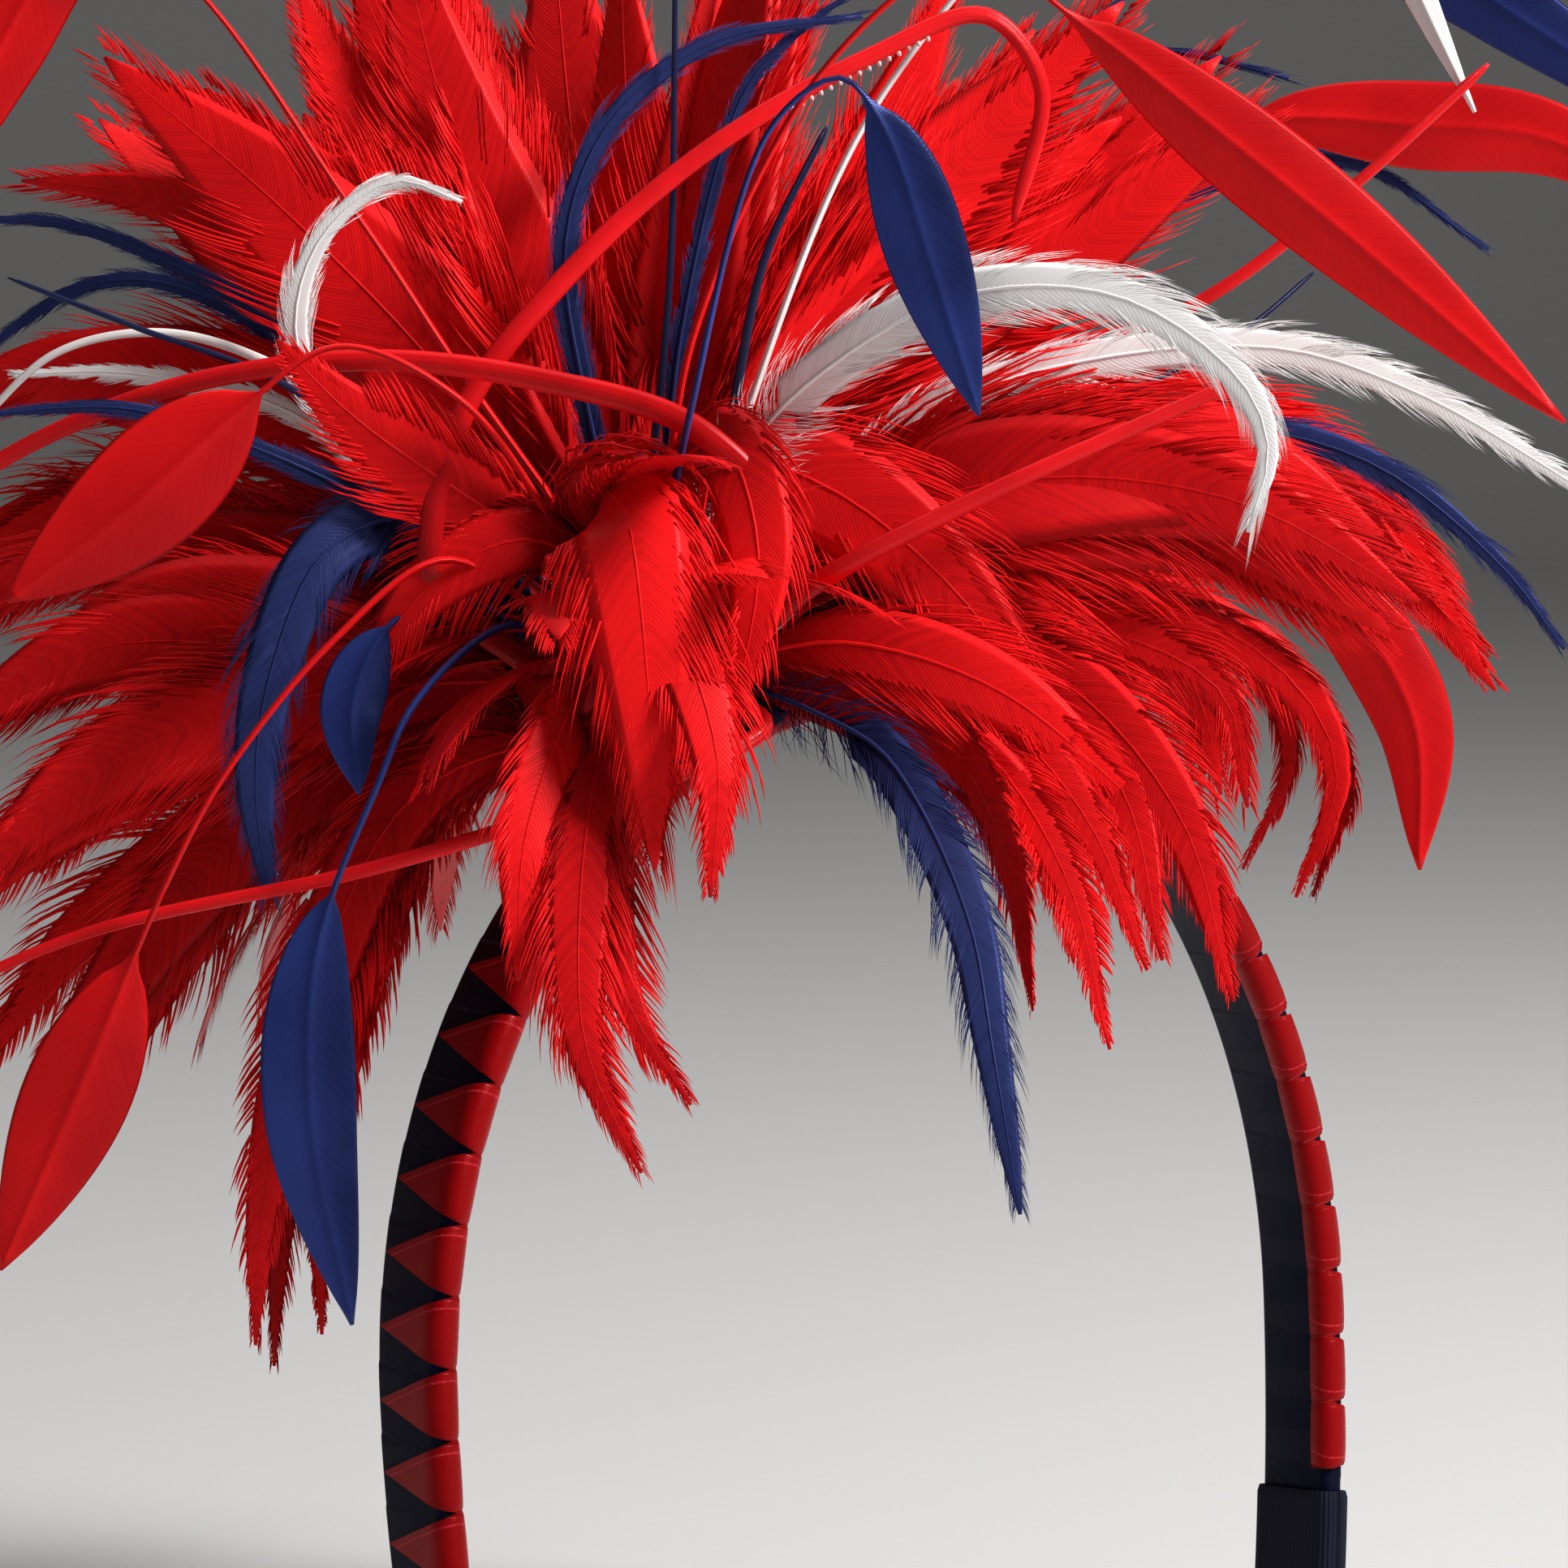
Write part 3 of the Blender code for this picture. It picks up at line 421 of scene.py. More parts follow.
def smooth_route(points, steps):
    """Evenly spaced points of a centripetal Catmull-Rom curve through a route's points."""
    p = np.array(points)
    q = np.vstack([2 * p[0] - p[1], p, 2 * p[-1] - p[-2]])
    knots = np.concatenate([[0.0], np.cumsum(np.linalg.norm(np.diff(q, axis=0), axis=1) ** 0.5)])
    fine = []
    for i in range(1, len(q) - 2):
        t = np.linspace(knots[i], knots[i + 1], ROUTE_FINE, endpoint=False)[:, None]
        k = knots[i - 1:i + 3]
        a = [((k[j + 1] - t) * q[i + j - 1] + (t - k[j]) * q[i + j]) / (k[j + 1] - k[j]) for j in range(3)]
        b = [((k[j + 2] - t) * a[j] + (t - k[j]) * a[j + 1]) / (k[j + 2] - k[j]) for j in range(2)]
        fine.append(((k[2] - t) * b[0] + (t - k[1]) * b[1]) / (k[2] - k[1]))
    fine = np.vstack([*fine, p[-1:]])
    run = run_along(fine)
    even = np.linspace(0.0, run[-1], steps + 1)
    return np.stack([np.interp(even, run, fine[:, axis]) for axis in range(3)], 1)


def single_line(route, steps):
    """The centre line of a feather of its own, seated just off the knot."""
    points = [placed(step) for step in route]
    points[0] = seated(points[0])
    return smooth_route(points, steps)


def line_frames(line, facing):
    """Directions along a line, to its side and out of its face, which is turned to look along facing."""
    along = unit(np.gradient(line, axis=0))
    face = unit(facing - along * np.sum(facing * along, 1, keepdims=True))
    return along, np.cross(along, face), face


def section_rings(line, side, face, across, out):
    """Rings round a line, from distances to its side and out of its face, one row of them a ring."""
    return line[:, None] + side[:, None] * across[..., None] + face[:, None] * out[..., None]


def tube(line, side, face, half, lift, flat, sides):
    """Rings of a rounded section: half wide to each side, lift high, and its underside pressed by flat."""
    turn = np.linspace(0, 2 * math.pi, sides, endpoint=False)
    out = np.where(np.cos(turn) < 0, np.cos(turn) * flat, np.cos(turn))
    return section_rings(line, side, face, np.sin(turn) * half[:, None], out * lift[:, None])


def quill_look(name, colour):
    """A stripped shaft: glossy, a little uneven in tone, painted darker towards its root as shade, with faint
    grooves along it.
    """
    look, tree, shader = glossy(name, colour, 0.30, 0.45, 0.3)
    tone = math_node(tree, "MULTIPLY_ADD", noise(tree, 120.0, 3.0), 0.6, -0.30)
    tone = math_node(tree, "ADD", tone, attribute(tree, "tint"))
    tone.node.use_clamp = True
    deep, light = [value * 0.22 for value in colour], [min(value * 1.25, 1.0) for value in colour]
    blend(tree, shader, tone, deep, light)
    bump(tree, shader, ridges(tree, attribute(tree, "round"), 0.5), 0.00003, 0.5)
    return look


QUILL_LOOKS = {key: quill_look(key + "_shaft", colour) for key, colour in QUILL_COLOURS.items()}


def quill(row):
    """One stripped shaft along its route."""
    line = single_line(row["route"], QUILL_STEPS)
    along, side, face = line_frames(line, EYE - line)
    share = np.linspace(0, 1, len(line))
    half = row["width"] * MM / 2 * (1 - 0.45 * share)
    half[-len(QUILL_TIP):] *= QUILL_TIP
    rings = tube(line, side, face, half, half * 0.6, 0.7, QUILL_SIDES)
    around = np.tile(np.linspace(0, 6, QUILL_SIDES, endpoint=False), len(line))
    # Painted shade: the tint deepens the shaft towards its root at the knot, and is full from 0.45 of its
    # length on.
    tint = np.repeat(0.12 + 0.70 * np.clip(share / 0.45, 0, 1), QUILL_SIDES)
    values = {"round": with_ends(around, 0.0, 0.0), "tint": with_ends(tint, tint[0], tint[-1])}
    made = mesh_object(row["name"], sweep(rings), QUILL_LOOKS[row["colour"]], values)
    if row["node"]:
        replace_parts(made, row["node"])
    return line, side, face, half


QUILL_LINES = {row["name"]: quill(row) for row in rows_of(QUILL_COLUMNS, QUILLS)}

# Stubs of the barbs that were cut from the long loop: short pale pegs of quill in a row under its top.
# They stand on the loop's lower edge, and one object holds them all.
STUB_PALE, STUB_LENGTH = (0.85, 0.55, 0.55), 0.9 * MM
STUB_SHARES, STUB_RADII = np.linspace(0.635, 0.76, 17), np.array([0.34, 0.36, 0.30, 0.14]) * MM


class Heap:
    """Point and face arrays gathered from many small shapes, to be made into one object."""

    def __init__(self):
        self.points, self.quads, self.triangles, self.tints, self.barbs, self.count = [], [], [], [], [], 0

    def add(self, points, quads, triangles, tint, barb=0.0):
        """Adds one batch, with a tint, its tone and any painted shade, and a distance across its barb lines
        per point.
        """
        self.points.append(points)
        self.barbs.append(np.broadcast_to(barb, len(points)))
        self.quads.append(quads + self.count)
        self.triangles.append(triangles + self.count)
        self.tints.append(np.broadcast_to(tint, len(points)))
        self.count += len(points)

    def build(self, name, look):
        """The gathered shapes as one object."""
        shape = np.vstack(self.points), np.vstack(self.quads), np.vstack(self.triangles)
        values = {"tint": np.concatenate(self.tints), "barb": np.concatenate(self.barbs)}
        return mesh_object(name, shape, look, values)


def cut_stubs():
    """A tapering peg at each share of the loop's length, which points down from the loop."""
    line, side, face, half = QUILL_LINES["loop_quill_shaft"]
    look, tree, shader = principled("stub_pale", STUB_PALE, 0.5)
    heap = Heap()
    steps = len(STUB_RADII)
    for share in STUB_SHARES:
        at = int(share * (len(line) - 1))
        down = side[at] * -math.copysign(1.0, side[at] @ SIGHT_TOP)
        peg = line[at] + down * (half[at] * 0.75 + np.linspace(0, STUB_LENGTH, steps))[:, None]
        aside = unit(np.cross(down, face[at]))
        around = np.tile(aside, (steps, 1)), np.tile(np.cross(aside, down), (steps, 1))
        heap.add(*sweep(tube(peg, *around, STUB_RADII, STUB_RADII, 1.0, 8)), 0.5)
    heap.build("loop_stubs", look)


cut_stubs()

# Trimmed leaves: goose feathers cut to a slender leaf on a bare stem, smooth, satiny and a little cupped.
# Each is a thin closed sheet over its route, with a raised shaft and slanting barb lines. Painted light makes
# one side of the shaft lighter and painted shade the other darker. Bare counts the route's steps that are
# stem alone.
LEAF_COLUMNS = ("name", "colour", "width", "bare", "node", "route")
LEAVES = (
    ("right_leaf", "red", 13.0, 4, "red_leaf_right", ((2, 9, 6), (8, 45, 22), (28, 84, 32), (48, 98, 34),
        (65, 88, 34), (84, 73, 33), (105, 56, 31), (134, 31, 28))),
    ("centre_leaf", "navy", 11.5, 4, "navy_leaf_centre", ((3, 9, 14), (7, 32, 36), (19, 74, 45), (29, 81, 46),
        (35, 74, 46), (42, 54, 44), (49, 32, 42))),
    ("left_leaf", "red", 17.0, 3, "red_leaf_left", ((-9, 9, 12), (-26, 34, 26), (-44, 42, 29), (-58, 33, 30),
        (-75, 18, 30), (-92, 5, 28))),
    ("left_blade", "red", 15.0, 4, "red_blade_left", ((-15, 3, 11), (-29, 11, 23), (-45, -1, 29),
        (-61, -21, 32), (-69, -36, 33), (-80, -62, 32), (-93, -92, 28))),
    ("left_navy_blade", "navy", 13.0, 3, "navy_blade_left", ((-12, 1, 13), (-21, 1, 22), (-33, -10, 32),
        (-38, -21, 36), (-47, -45, 38), (-48, -70, 38), (-42, -100, 36))),
    ("right_blade", "red", 12.0, 3, "red_blade_right", ((14, 2, 4), (50, 14, 2), (85, 14, 0), (101, 5, 0),
        (112, -12, 0), (113, -34, 0))),
    ("far_right_leaf", "red", 13.0, 3, "red_leaf_far_right", ((9, 9, -7), (45, 50, -20), (85, 74, -24),
        (114, 74, -24), (132, 72, -24), (152, 60, -24))),
    ("far_right_navy_leaf", "navy", 12.0, 3, "navy_leaf_far_right", ((6, 10, -5), (40, 66, -18),
        (85, 100, -24), (112, 98, -26), (130, 88, -26), (155, 70, -26))),
    ("low_right_navy_leaf", "navy", 7.0, 3, "navy_leaf_low_right", ((9, 8, -13), (60, 52, -34),
        (100, 72, -40), (121, 74, -40), (135, 72, -40), (152, 64, -40))),
    ("top_white_leaf", "white", 7.0, 3, "white_leaf_top", ((6, 10, 2), (36, 80, 4), (76, 118, 6),
        (105, 112, 6), (113, 93, 6), (121, 76, 6))),
    ("top_left_leaf", "red", 13.0, 4, "red_leaf_top_left", ((-6, 10, 4), (-26, 38, 10), (-42, 62, 11),
        (-70, 98, 12), (-84, 98, 12), (-94, 84, 12), (-104, 60, 10))),
    ("inner_navy_leaf", "navy", 9.0, 2, "navy_leaf_inner", ((-14, 0, 6), (-25, 5, 12), (-36, 2, 19),
        (-42, -10, 23), (-41, -23, 24))),
)
LEAF_HALF = np.array([0.07, 0.18, 0.35, 0.55, 0.75, 0.92, 1.0])
LEAF_ACROSS = np.concatenate([-LEAF_HALF[::-1], [0.0], LEAF_HALF])
LEAF_STEPS, LEAF_STEM = 64, 0.58 * MM
# Each colour's middle tone and the swing of painted light from one side of the shaft to the other.
LEAF_TONE_AND_SIDE_LIGHT = {"red": (0.62, 0.26), "navy": (0.46, 0.40), "white": (0.62, 0.26)}
# Light and deep ends of each vane colour: the tint blends between them, for random tone and for painted shade
# and light.
VANE_COLOURS = {"red": (0.92, 0.010, 0.012), "navy": (0.030, 0.052, 0.250), "white": (0.90, 0.87, 0.86)}
VANE_DEEP = {"red": (0.20, 0.001, 0.003), "navy": (0.004, 0.006, 0.030), "white": (0.66, 0.54, 0.54)}


def vane_share(form, share, bare):
    """Half-width of a feather at a share of its length, as a share of its widest, with a the share past bare.

    A leaf's is sin(pi a^0.8)^0.8, a hackle's 1.5 a^0.35 (1 - a)^0.6 and a broad feather's sin(pi a^0.7)^0.8.
    """
    along = np.clip((share - bare) / (1 - bare), 0.0, 1.0)
    if form == "leaf":
        return np.sin(math.pi * along**0.8).clip(0) ** 0.8
    if form == "hackle":
        return 1.5 * along**0.35 * (1 - along) ** 0.6
    return np.sin(math.pi * np.minimum(along, 0.999) ** 0.70).clip(0) ** 0.80


def closed_sheet(across, top, low):
    """Places across a thin sheet and its heights there, out along its top and back along its underside."""
    return np.concatenate([across, across[-2:0:-1]]), np.concatenate([top, low[:, -2:0:-1]], 1)


def streaks(tree, distance, scale):
    """A value that changes only from one barb line to the next, over a distance in millimetres."""
    inputs = {"W": distance, "Scale": scale, "Detail": 3.0}
    return add_node(tree, "ShaderNodeTexNoise", inputs, noise_dimensions="1D").outputs["Fac"]


def vane_look(name, light, deep, roughness, streak, shine):
    """A feather's vane: painted shade and light from its tint, random tone, fine slanting barb lines and a
    satin surface.
    """
    look, tree, shader = glossy(name, light, roughness, shine, 0.15)
    wandering = math_node(tree, "MULTIPLY_ADD", noise(tree, 150.0, 2.0), 0.5, attribute(tree, "barb"))
    line = math_node(tree, "MULTIPLY_ADD", streaks(tree, wandering, 1.3), streak, -0.30 - streak / 2)
    tone = math_node(tree, "MULTIPLY_ADD", noise(tree, 60.0, 3.0), 0.6, line)
    shade = math_node(tree, "ADD", attribute(tree, "tint"), tone)
    shade.node.use_clamp = True
    blend(tree, shader, shade, deep, light)
    waver = math_node(tree, "MULTIPLY", noise(tree, 260.0, 2.0), 0.3)
    bump(tree, shader, ridges(tree, attribute(tree, "barb"), 0.42, waver), 0.00005, 0.3)
    return look


LEAF_LOOKS = {key: vane_look(key + "_leaf", light, VANE_DEEP[key], 0.34, 0.22, 0.5)
              for key, light in VANE_COLOURS.items()}


def leaf(row, seed):
    """One trimmed leaf: rings of a lens section with a raised shaft, cupped away from the eye."""
    rng = np.random.default_rng(seed)
    line = single_line(row["route"], LEAF_STEPS)
    along, side, face = line_frames(line, EYE - line)
    share = np.linspace(0, 1, len(line))
    bare = row["bare"] / (len(row["route"]) - 1)
    spread = vane_share("leaf", share, bare)
    u, share = LEAF_ACROSS, share[:, None]
    half = np.maximum(row["width"] * MM / 2 * spread[:, None], LEAF_STEM * (1 - 0.5 * share))
    vane = np.clip(spread * 6, 0, 1)[:, None]
    ripple = 0.05 * np.abs(u) * half * np.sin(share * 9 + rng.random() * 6)
    cup = (ripple - 0.16 * u**2 * half) * vane
    ridge = 0.42 * MM * np.exp(-((u * half / (0.5 * MM)) ** 2)) * (1 - 0.5 * share)
    thick = (0.16 + 0.30 * (1 - vane)) * MM * np.sqrt(1 - u**2) + ridge
    across, height = closed_sheet(u, cup + thick, cup - thick * 0.8)
    rings = section_rings(line, side, face, across * half, height)
    barb = share * run_along(line)[-1] / MM - 1.3 * np.abs(across) * half / MM
    middle, side_light = LEAF_TONE_AND_SIDE_LIGHT[row["colour"]]
    # Painted light and shade: lighter on one side of the shaft and darker on the other, rising and falling
    # along the leaf; paler at the edges.
    tint = middle + side_light * across + 0.18 * np.abs(across) ** 6 + 0.10 * np.sin(share * 7)
    values = {"barb": with_ends(barb, 0.0, 0.0), "tint": with_ends(tint, 0.5, 0.5)}
    made = mesh_object(row["name"], sweep(rings), LEAF_LOOKS[row["colour"]], values)
    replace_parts(made, row["node"])


for number, row in enumerate(rows_of(LEAF_COLUMNS, LEAVES)):
    leaf(row, 40 + number)

# Hackles: soft slender feathers in white and navy, whose loose barbs, thin ridged strips over a cupped inner
# sheet, cling together in locks. Lean is a barb's angle to the shaft in degrees at the root and at the tip,
# and down is the share of the length that carries down, long fine barbs at wild angles.
HACKLE_COLUMNS = ("name", "colour", "width", "lean", "down", "node", "route")
HACKLES = (
    ("curled_white", "white", 12.5, (26, 10), 0.24, "white_hackle_curl", ((10, 8, 10), (15, 26, 20),
        (30, 41, 32), (49, 50, 38), (70, 49, 40), (87, 37, 40), (91, 27, 39), (88, 15, 38))),
    ("left_white_curl", "white", 7.0, (24, 11), 0.0, "white_curl_left", ((-11, 9, 4), (-40, 26, 10),
        (-50, 42, 14), (-47, 57, 16), (-36, 66, 17), (-26, 63, 18))),
    ("right_white", "white", 10.0, (26, 12), 0.1, "white_hackle_right", ((10, 6, 0), (45, 34, 4), (89, 42, 4),
        (111, 36, 4), (142, 18, 2))),
    ("left_white_short", "white", 5.0, (30, 16), 0.3, None, ((-10, 2, -4), (-50, 32, -4), (-73, 38, -4),
        (-92, 38, -4))),
    ("left_navy_high", "navy", 5.0, (20, 9), 0.0, "navy_left_high", ((-12, 6, -3), (-51, 44, -6),
        (-68, 54, -6), (-85, 60, -6), (-102, 60, -6))),
    ("left_navy_arch", "navy", 5.0, (20, 9), 0.0, "navy_left_arch", ((-11, 4, -5), (-45, 38, -11),
        (-68, 51, -11), (-80, 51, -11), (-92, 44, -11), (-101, 36, -11))),
    ("left_navy_low", "navy", 5.0, (22, 10), 0.0, "navy_left_low", ((-14, 6, 2), (-40, 20, 8), (-58, 28, 14),
        (-75, 33, 16), (-98, 32, 16))),
    ("split_navy", "navy", 16.0, (30, 14), 0.0, "navy_split", ((-15, 3, 5), (-33, 17, 15), (-46, 12, 22),
        (-54, -6, 25), (-56, -22, 26), (-54, -38, 26))),
    ("top_navy_curl", "navy", 6.0, (18, 8), 0.0, "navy_top_curl", ((-2, 10, 4), (-8, 34, 9), (-11, 57, 9),
        (-5, 74, 8), (10, 86, 5), (32, 90, 2))),
    ("far_top_navy", "navy", 4.0, (18, 8), 0.0, "navy_far_top", ((3, 9, -9), (38, 68, -26), (60, 82, -26),
        (75, 85, -26), (94, 81, -24))),
    ("far_right_navy", "navy", 5.0, (22, 10), 0.0, "navy_far_right", ((11, 6, -9), (60, 54, -27),
        (101, 69, -28), (123, 56, -28))),
    ("right_navy_arch", "navy", 9.0, (22, 10), 0.0, "navy_right_arch", ((12, 4, -4), (50, 24, -8),
        (85, 30, -8), (106, 25, -8), (125, 10, -8), (134, -2, -8))),
    ("head_navy", "navy", 13.0, (28, 14), 0.2, "navy_head_hackle", ((15, -7, 9), (25, -11, 18), (34, -16, 24),
        (40, -24, 32), (48, -43, 52), (51, -60, 61), (55, -84, 67))),
    ("top_navy_short", "navy", 4.0, (24, 12), 0.0, None, ((2, 10, 0), (6, 45, 2), (15, 79, 2), (22, 87, 2),
        (33, 95, 2))),
)
HACKLE_STEPS, HACKLE_SPACING, HACKLE_SHAFT = 90, 0.36 * MM, 0.45 * MM
HACKLE_BARE, HACKLE_SPLIT, HACKLE_CAMBER, HACKLE_INNER = 0.03, 0.55, 0.12, 0.68
HACKLE_TONES = {"white": 1.1, "navy": 0.75}
BARB_STATIONS, BARB_WIDTHS = np.array([0.0, 0.36, 0.72, 1.0]), np.array([1.3, 1.15, 0.7])
BARB_POINTS = [3, 3, 3, 1]
BARB_QUADS = np.array([[ring + i, ring + (i + 1) % 3, ring + 3 + (i + 1) % 3, ring + 3 + i]
                       for ring in (0, 3) for i in range(3)])
BARB_CAPS = np.array([[0, 2, 1], [6, 7, 9], [7, 8, 9], [8, 6, 9]])
# Along each barb's four stations: painted shade at its root and a painted glow of light through its tip.
BARB_SHADE_AND_GLOW = np.repeat([-0.16, 0.0, 0.10, 0.2], BARB_POINTS)
BARB_BEND, BARB_POWER, LOCK_CHANCE, TIP_OVERRUN = 1.25, 1.1, 0.10, 7.0 * MM
SHEET_ACROSS = np.array([-1.0, -0.75, -0.45, -0.15, 0.15, 0.45, 0.75, 1.0])
SHEET_RINGS, SHEET_BEND, SHEET_THICKNESS, SHEET_SLANT = 33, 1.35, 0.10 * MM, 1.96


def painted_root_shade(share):
    """Painted shade along a feather at a share of its length: deep at its root by the knot, and full from the
    middle on.
    """
    rise = np.clip(share / 0.58, 0, 1)
    return 0.14 + 0.86 * rise**2 * (3 - 2 * rise)


def barb_turn(reach, bend):
    """The share of its own length at which a barb stands a share of its reach out: asin(reach sin b) / b."""
    return np.arcsin(reach * math.sin(bend)) / bend


def barbs(heap, line, frames, half_at, bare, spacing, lean, rng, tone, down, split, camber, start):
    """Adds a feather's barbs to a heap, each from a start share t of its own length.

    A barb's tip lies at its lean angle from its root, and the barb follows the shaft's own curve. At t it is
    reach sin(b t) / sin b to the side, forward t^1.1 on, and camber reach t^2 under the face, with b as
    BARB_BEND. Neighbours in a lock draw together towards the lock's middle in proportion to split.
    """
    share = np.linspace(0, 1, len(line))
    length = run_along(line)[-1]
    count = max(int(length * (1 - bare) / spacing), 8)
    fields = np.concatenate([line, *frames], 1)
    for sign in (-1.0, 1.0):
        s = bare + (0.985 - bare) * (np.arange(count) + 0.5 * rng.random(count)) / count
        lock = np.cumsum(rng.random(count) < LOCK_CHANCE)
        members = np.maximum(np.bincount(lock), 1)
        middle = np.bincount(lock, weights=s)[lock] / members[lock]
        drift, lifted = rng.normal(0, 1, (2, len(members)))[:, lock]
        travel = np.clip((s - bare) / (1 - bare), 0, 1)
        leaning = lean[0] + (lean[1] - lean[0]) * travel + 2.0 * drift + 1.2 * rng.normal(0, 1, count)
        angle = np.radians(np.clip(leaning, 5, 80))
        ahead = np.minimum(s + half_at(s) / np.tan(angle) / length, 0.97)
        reach = np.maximum(0.6 * half_at(ahead) + 0.4 * half_at(s), 0.7 * MM)
        reach = reach * (1 + 0.08 * drift + 0.09 * rng.normal(0, 1, count))
        room = (1 - s) * length + TIP_OVERRUN * (0.6 + 0.4 * rng.random(count))
        forward = np.minimum(reach / np.tan(angle), room)
        wild = np.clip((down - s) / max(down, 1e-6), 0, 1) ** 0.5 if down else np.zeros(count)
        reach = reach * (1 + wild * rng.random(count) * 0.9)
        forward = forward * (1 - wild * rng.random(count) * 1.2)
        tilt = wild * rng.normal(0, 0.9, count)
        t = start + (1 - start) * BARB_STATIONS[None, :]
        lateral = sign * reach[:, None] * np.sin(BARB_BEND * t) / math.sin(BARB_BEND)
        onward = forward[:, None] * t**BARB_POWER + ((middle - s) * length * split)[:, None] * t**2
        out = (reach * (0.06 * lifted + tilt - camber))[:, None] * t**2
        at = s[:, None] + onward / length
        held = np.clip(at, 0.0, 1.0)
        found = np.stack([np.interp(held, share, fields[:, c]) for c in range(12)], -1)
        place, onto, aside, face = np.split(found, 4, axis=-1)
        path = place + aside * lateral[..., None] + face * out[..., None]
        path = path + onto * ((at - held) * length)[..., None]
        path[..., 2] -= (reach[:, None] * 0.05) * t**2
        heading = unit(np.gradient(path, axis=1))
        width = spacing * (np.maximum(np.sin(angle), 0.22) * (1 - 0.35 * wild))[:, None] * BARB_WIDTHS
        half = (width / 2)[..., None]
        middles, breadth = path[:, :3], unit(np.cross(face, heading))[:, :3] * half
        rings = np.stack([middles - breadth, middles + breadth, middles + face[:, :3] * half * 0.6], 2)
        points = np.concatenate([rings.reshape(count, 9, 3), path[:, 3:4]], 1).reshape(-1, 3)
        base = (np.arange(count) * sum(BARB_POINTS))[:, None, None]
        # Each barb has a random tone of its own; painted shade deepens it towards the feather's root and the
        # barb's root, and painted glow lightens the barb's tip.
        own = tone + 0.12 * drift + 0.10 * rng.normal(0, 1, count)
        tint = painted_root_shade(np.repeat(held, BARB_POINTS, axis=1)) * np.clip(own[:, None] + BARB_SHADE_AND_GLOW, 0, 1)
        quads, triangles = (BARB_QUADS + base).reshape(-1, 4), (BARB_CAPS + base).reshape(-1, 3)
        heap.add(points, quads, triangles, tint.ravel())


def vane_sheet(heap, line, side, face, half_at, inner, camber, tone):
    """Adds the close inner part of a vane: a thin cupped sheet just under the barbs, with barb lines.

    Its half-width is the inner share of the vane's. A barb line runs forward by its turn^1.1 as a barb does.
    """
    picked = np.linspace(0, len(line) - 1, SHEET_RINGS).round().astype(int)
    share = (picked / (len(line) - 1))[:, None]
    full = half_at(share)
    half = np.maximum(full * inner, 0.25 * MM)
    u = SHEET_ACROSS
    cup = -camber * barb_turn(np.abs(u) * inner, SHEET_BEND) ** 2 * full - 0.06 * MM
    thick = SHEET_THICKNESS * np.sqrt(1 - u**2)
    across, height = closed_sheet(u, cup + thick, cup - thick)
    rings = section_rings(line[picked], side[picked], face[picked], across * half, height)
    forward = SHEET_SLANT * full * barb_turn(np.abs(across) * inner, BARB_BEND) ** BARB_POWER
    barb = 0.5 * (share * run_along(line)[-1] - forward) / MM
    # Painted shade: darker by the shaft, lighter towards the sheet's edges, and deep towards the feather's
    # root.
    tint = (tone - 0.08 + 0.12 * np.abs(across)) * painted_root_shade(share)
    heap.add(*sweep(rings), with_ends(tint, tint[0, 0], tone), with_ends(barb, 0.0, 0.0))


def shaft(heap, line, side, face, thick, tone):
    """Adds a feather's own shaft, which tapers to a fine tip and has a ring at every third point."""
    radius = (thick * (1 - 0.82 * np.linspace(0, 1, len(line))))[::3]
    heap.add(*sweep(tube(line[::3], side[::3], face[::3], radius, radius, 1.0, 6)), tone)


BARB_COLOURS = {**VANE_COLOURS, "navy": (0.024, 0.034, 0.130)}
# White barbs deepen to pink, not grey: painted red light thrown onto them from the spray, strongest at their
# roots.
BARB_DEEP = {**VANE_DEEP, "white": (0.72, 0.34, 0.36)}
BARB_LOOKS = {key: vane_look(key + "_barbs", light, BARB_DEEP[key], 0.42, 0.5, 0.3)
              for key, light in BARB_COLOURS.items()}


def hackle(row, seed):
    """One hackle as an object of its own."""
    rng = np.random.default_rng(seed)
    line = single_line(row["route"], HACKLE_STEPS)
    frames = line_frames(line, EYE - line)
    heap = Heap()
    tone = HACKLE_TONES[row["colour"]]

    def half_at(share):
        return row["width"] * MM / 2 * vane_share("hackle", share, 0.0)

    def sheet_at(share):
        return half_at(share) * (share > row["down"])

    barbs(heap, line, frames, half_at, HACKLE_BARE, HACKLE_SPACING, row["lean"], rng, tone, row["down"],
          HACKLE_SPLIT, HACKLE_CAMBER, 0.0)
    vane_sheet(heap, line, *frames[1:], sheet_at, HACKLE_INNER, HACKLE_CAMBER, tone)
    shaft(heap, line, *frames[1:], HACKLE_SHAFT, tone - 0.1)
    made = heap.build(row["name"], BARB_LOOKS[row["colour"]])
    if row["node"]:
        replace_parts(made, row["node"])


for number, row in enumerate(rows_of(HACKLE_COLUMNS, HACKLES)):
    hackle(row, 70 + number)

# The red spray: broad soft feathers with fine barbs, bound at their roots in three masses round the knot.
# Each mass is one object: a slice of the knot between two shares of its height, painted dark as shade, the
# feathers that its solid has and others between them. Light is its tone, lower in the low mass as painted
# shade, and copies are the feathers at a route or an azimuth.
LOW_SHARE, MIDDLE_SHARE, ROOT_SHARE, SLICE_GAP = 0.36, 0.30, 0.75, 0.0125
MASS_COLUMNS = ("mass", "low", "high", "light", "copies", "ring_copies")
MASSES = (
    # The low mass's lower light is painted shade, for it lies under the rest of the spray.
    ("low", 0.0, LOW_SHARE, 0.56, 3, 3),
    ("middle", LOW_SHARE + SLICE_GAP, LOW_SHARE + MIDDLE_SHARE, 0.70, 4, 4),
    ("crown", LOW_SHARE + MIDDLE_SHARE + SLICE_GAP, 1.0, 0.76, 3, 4),
)
FUSED_COLUMNS = ("mass", "width", "route")
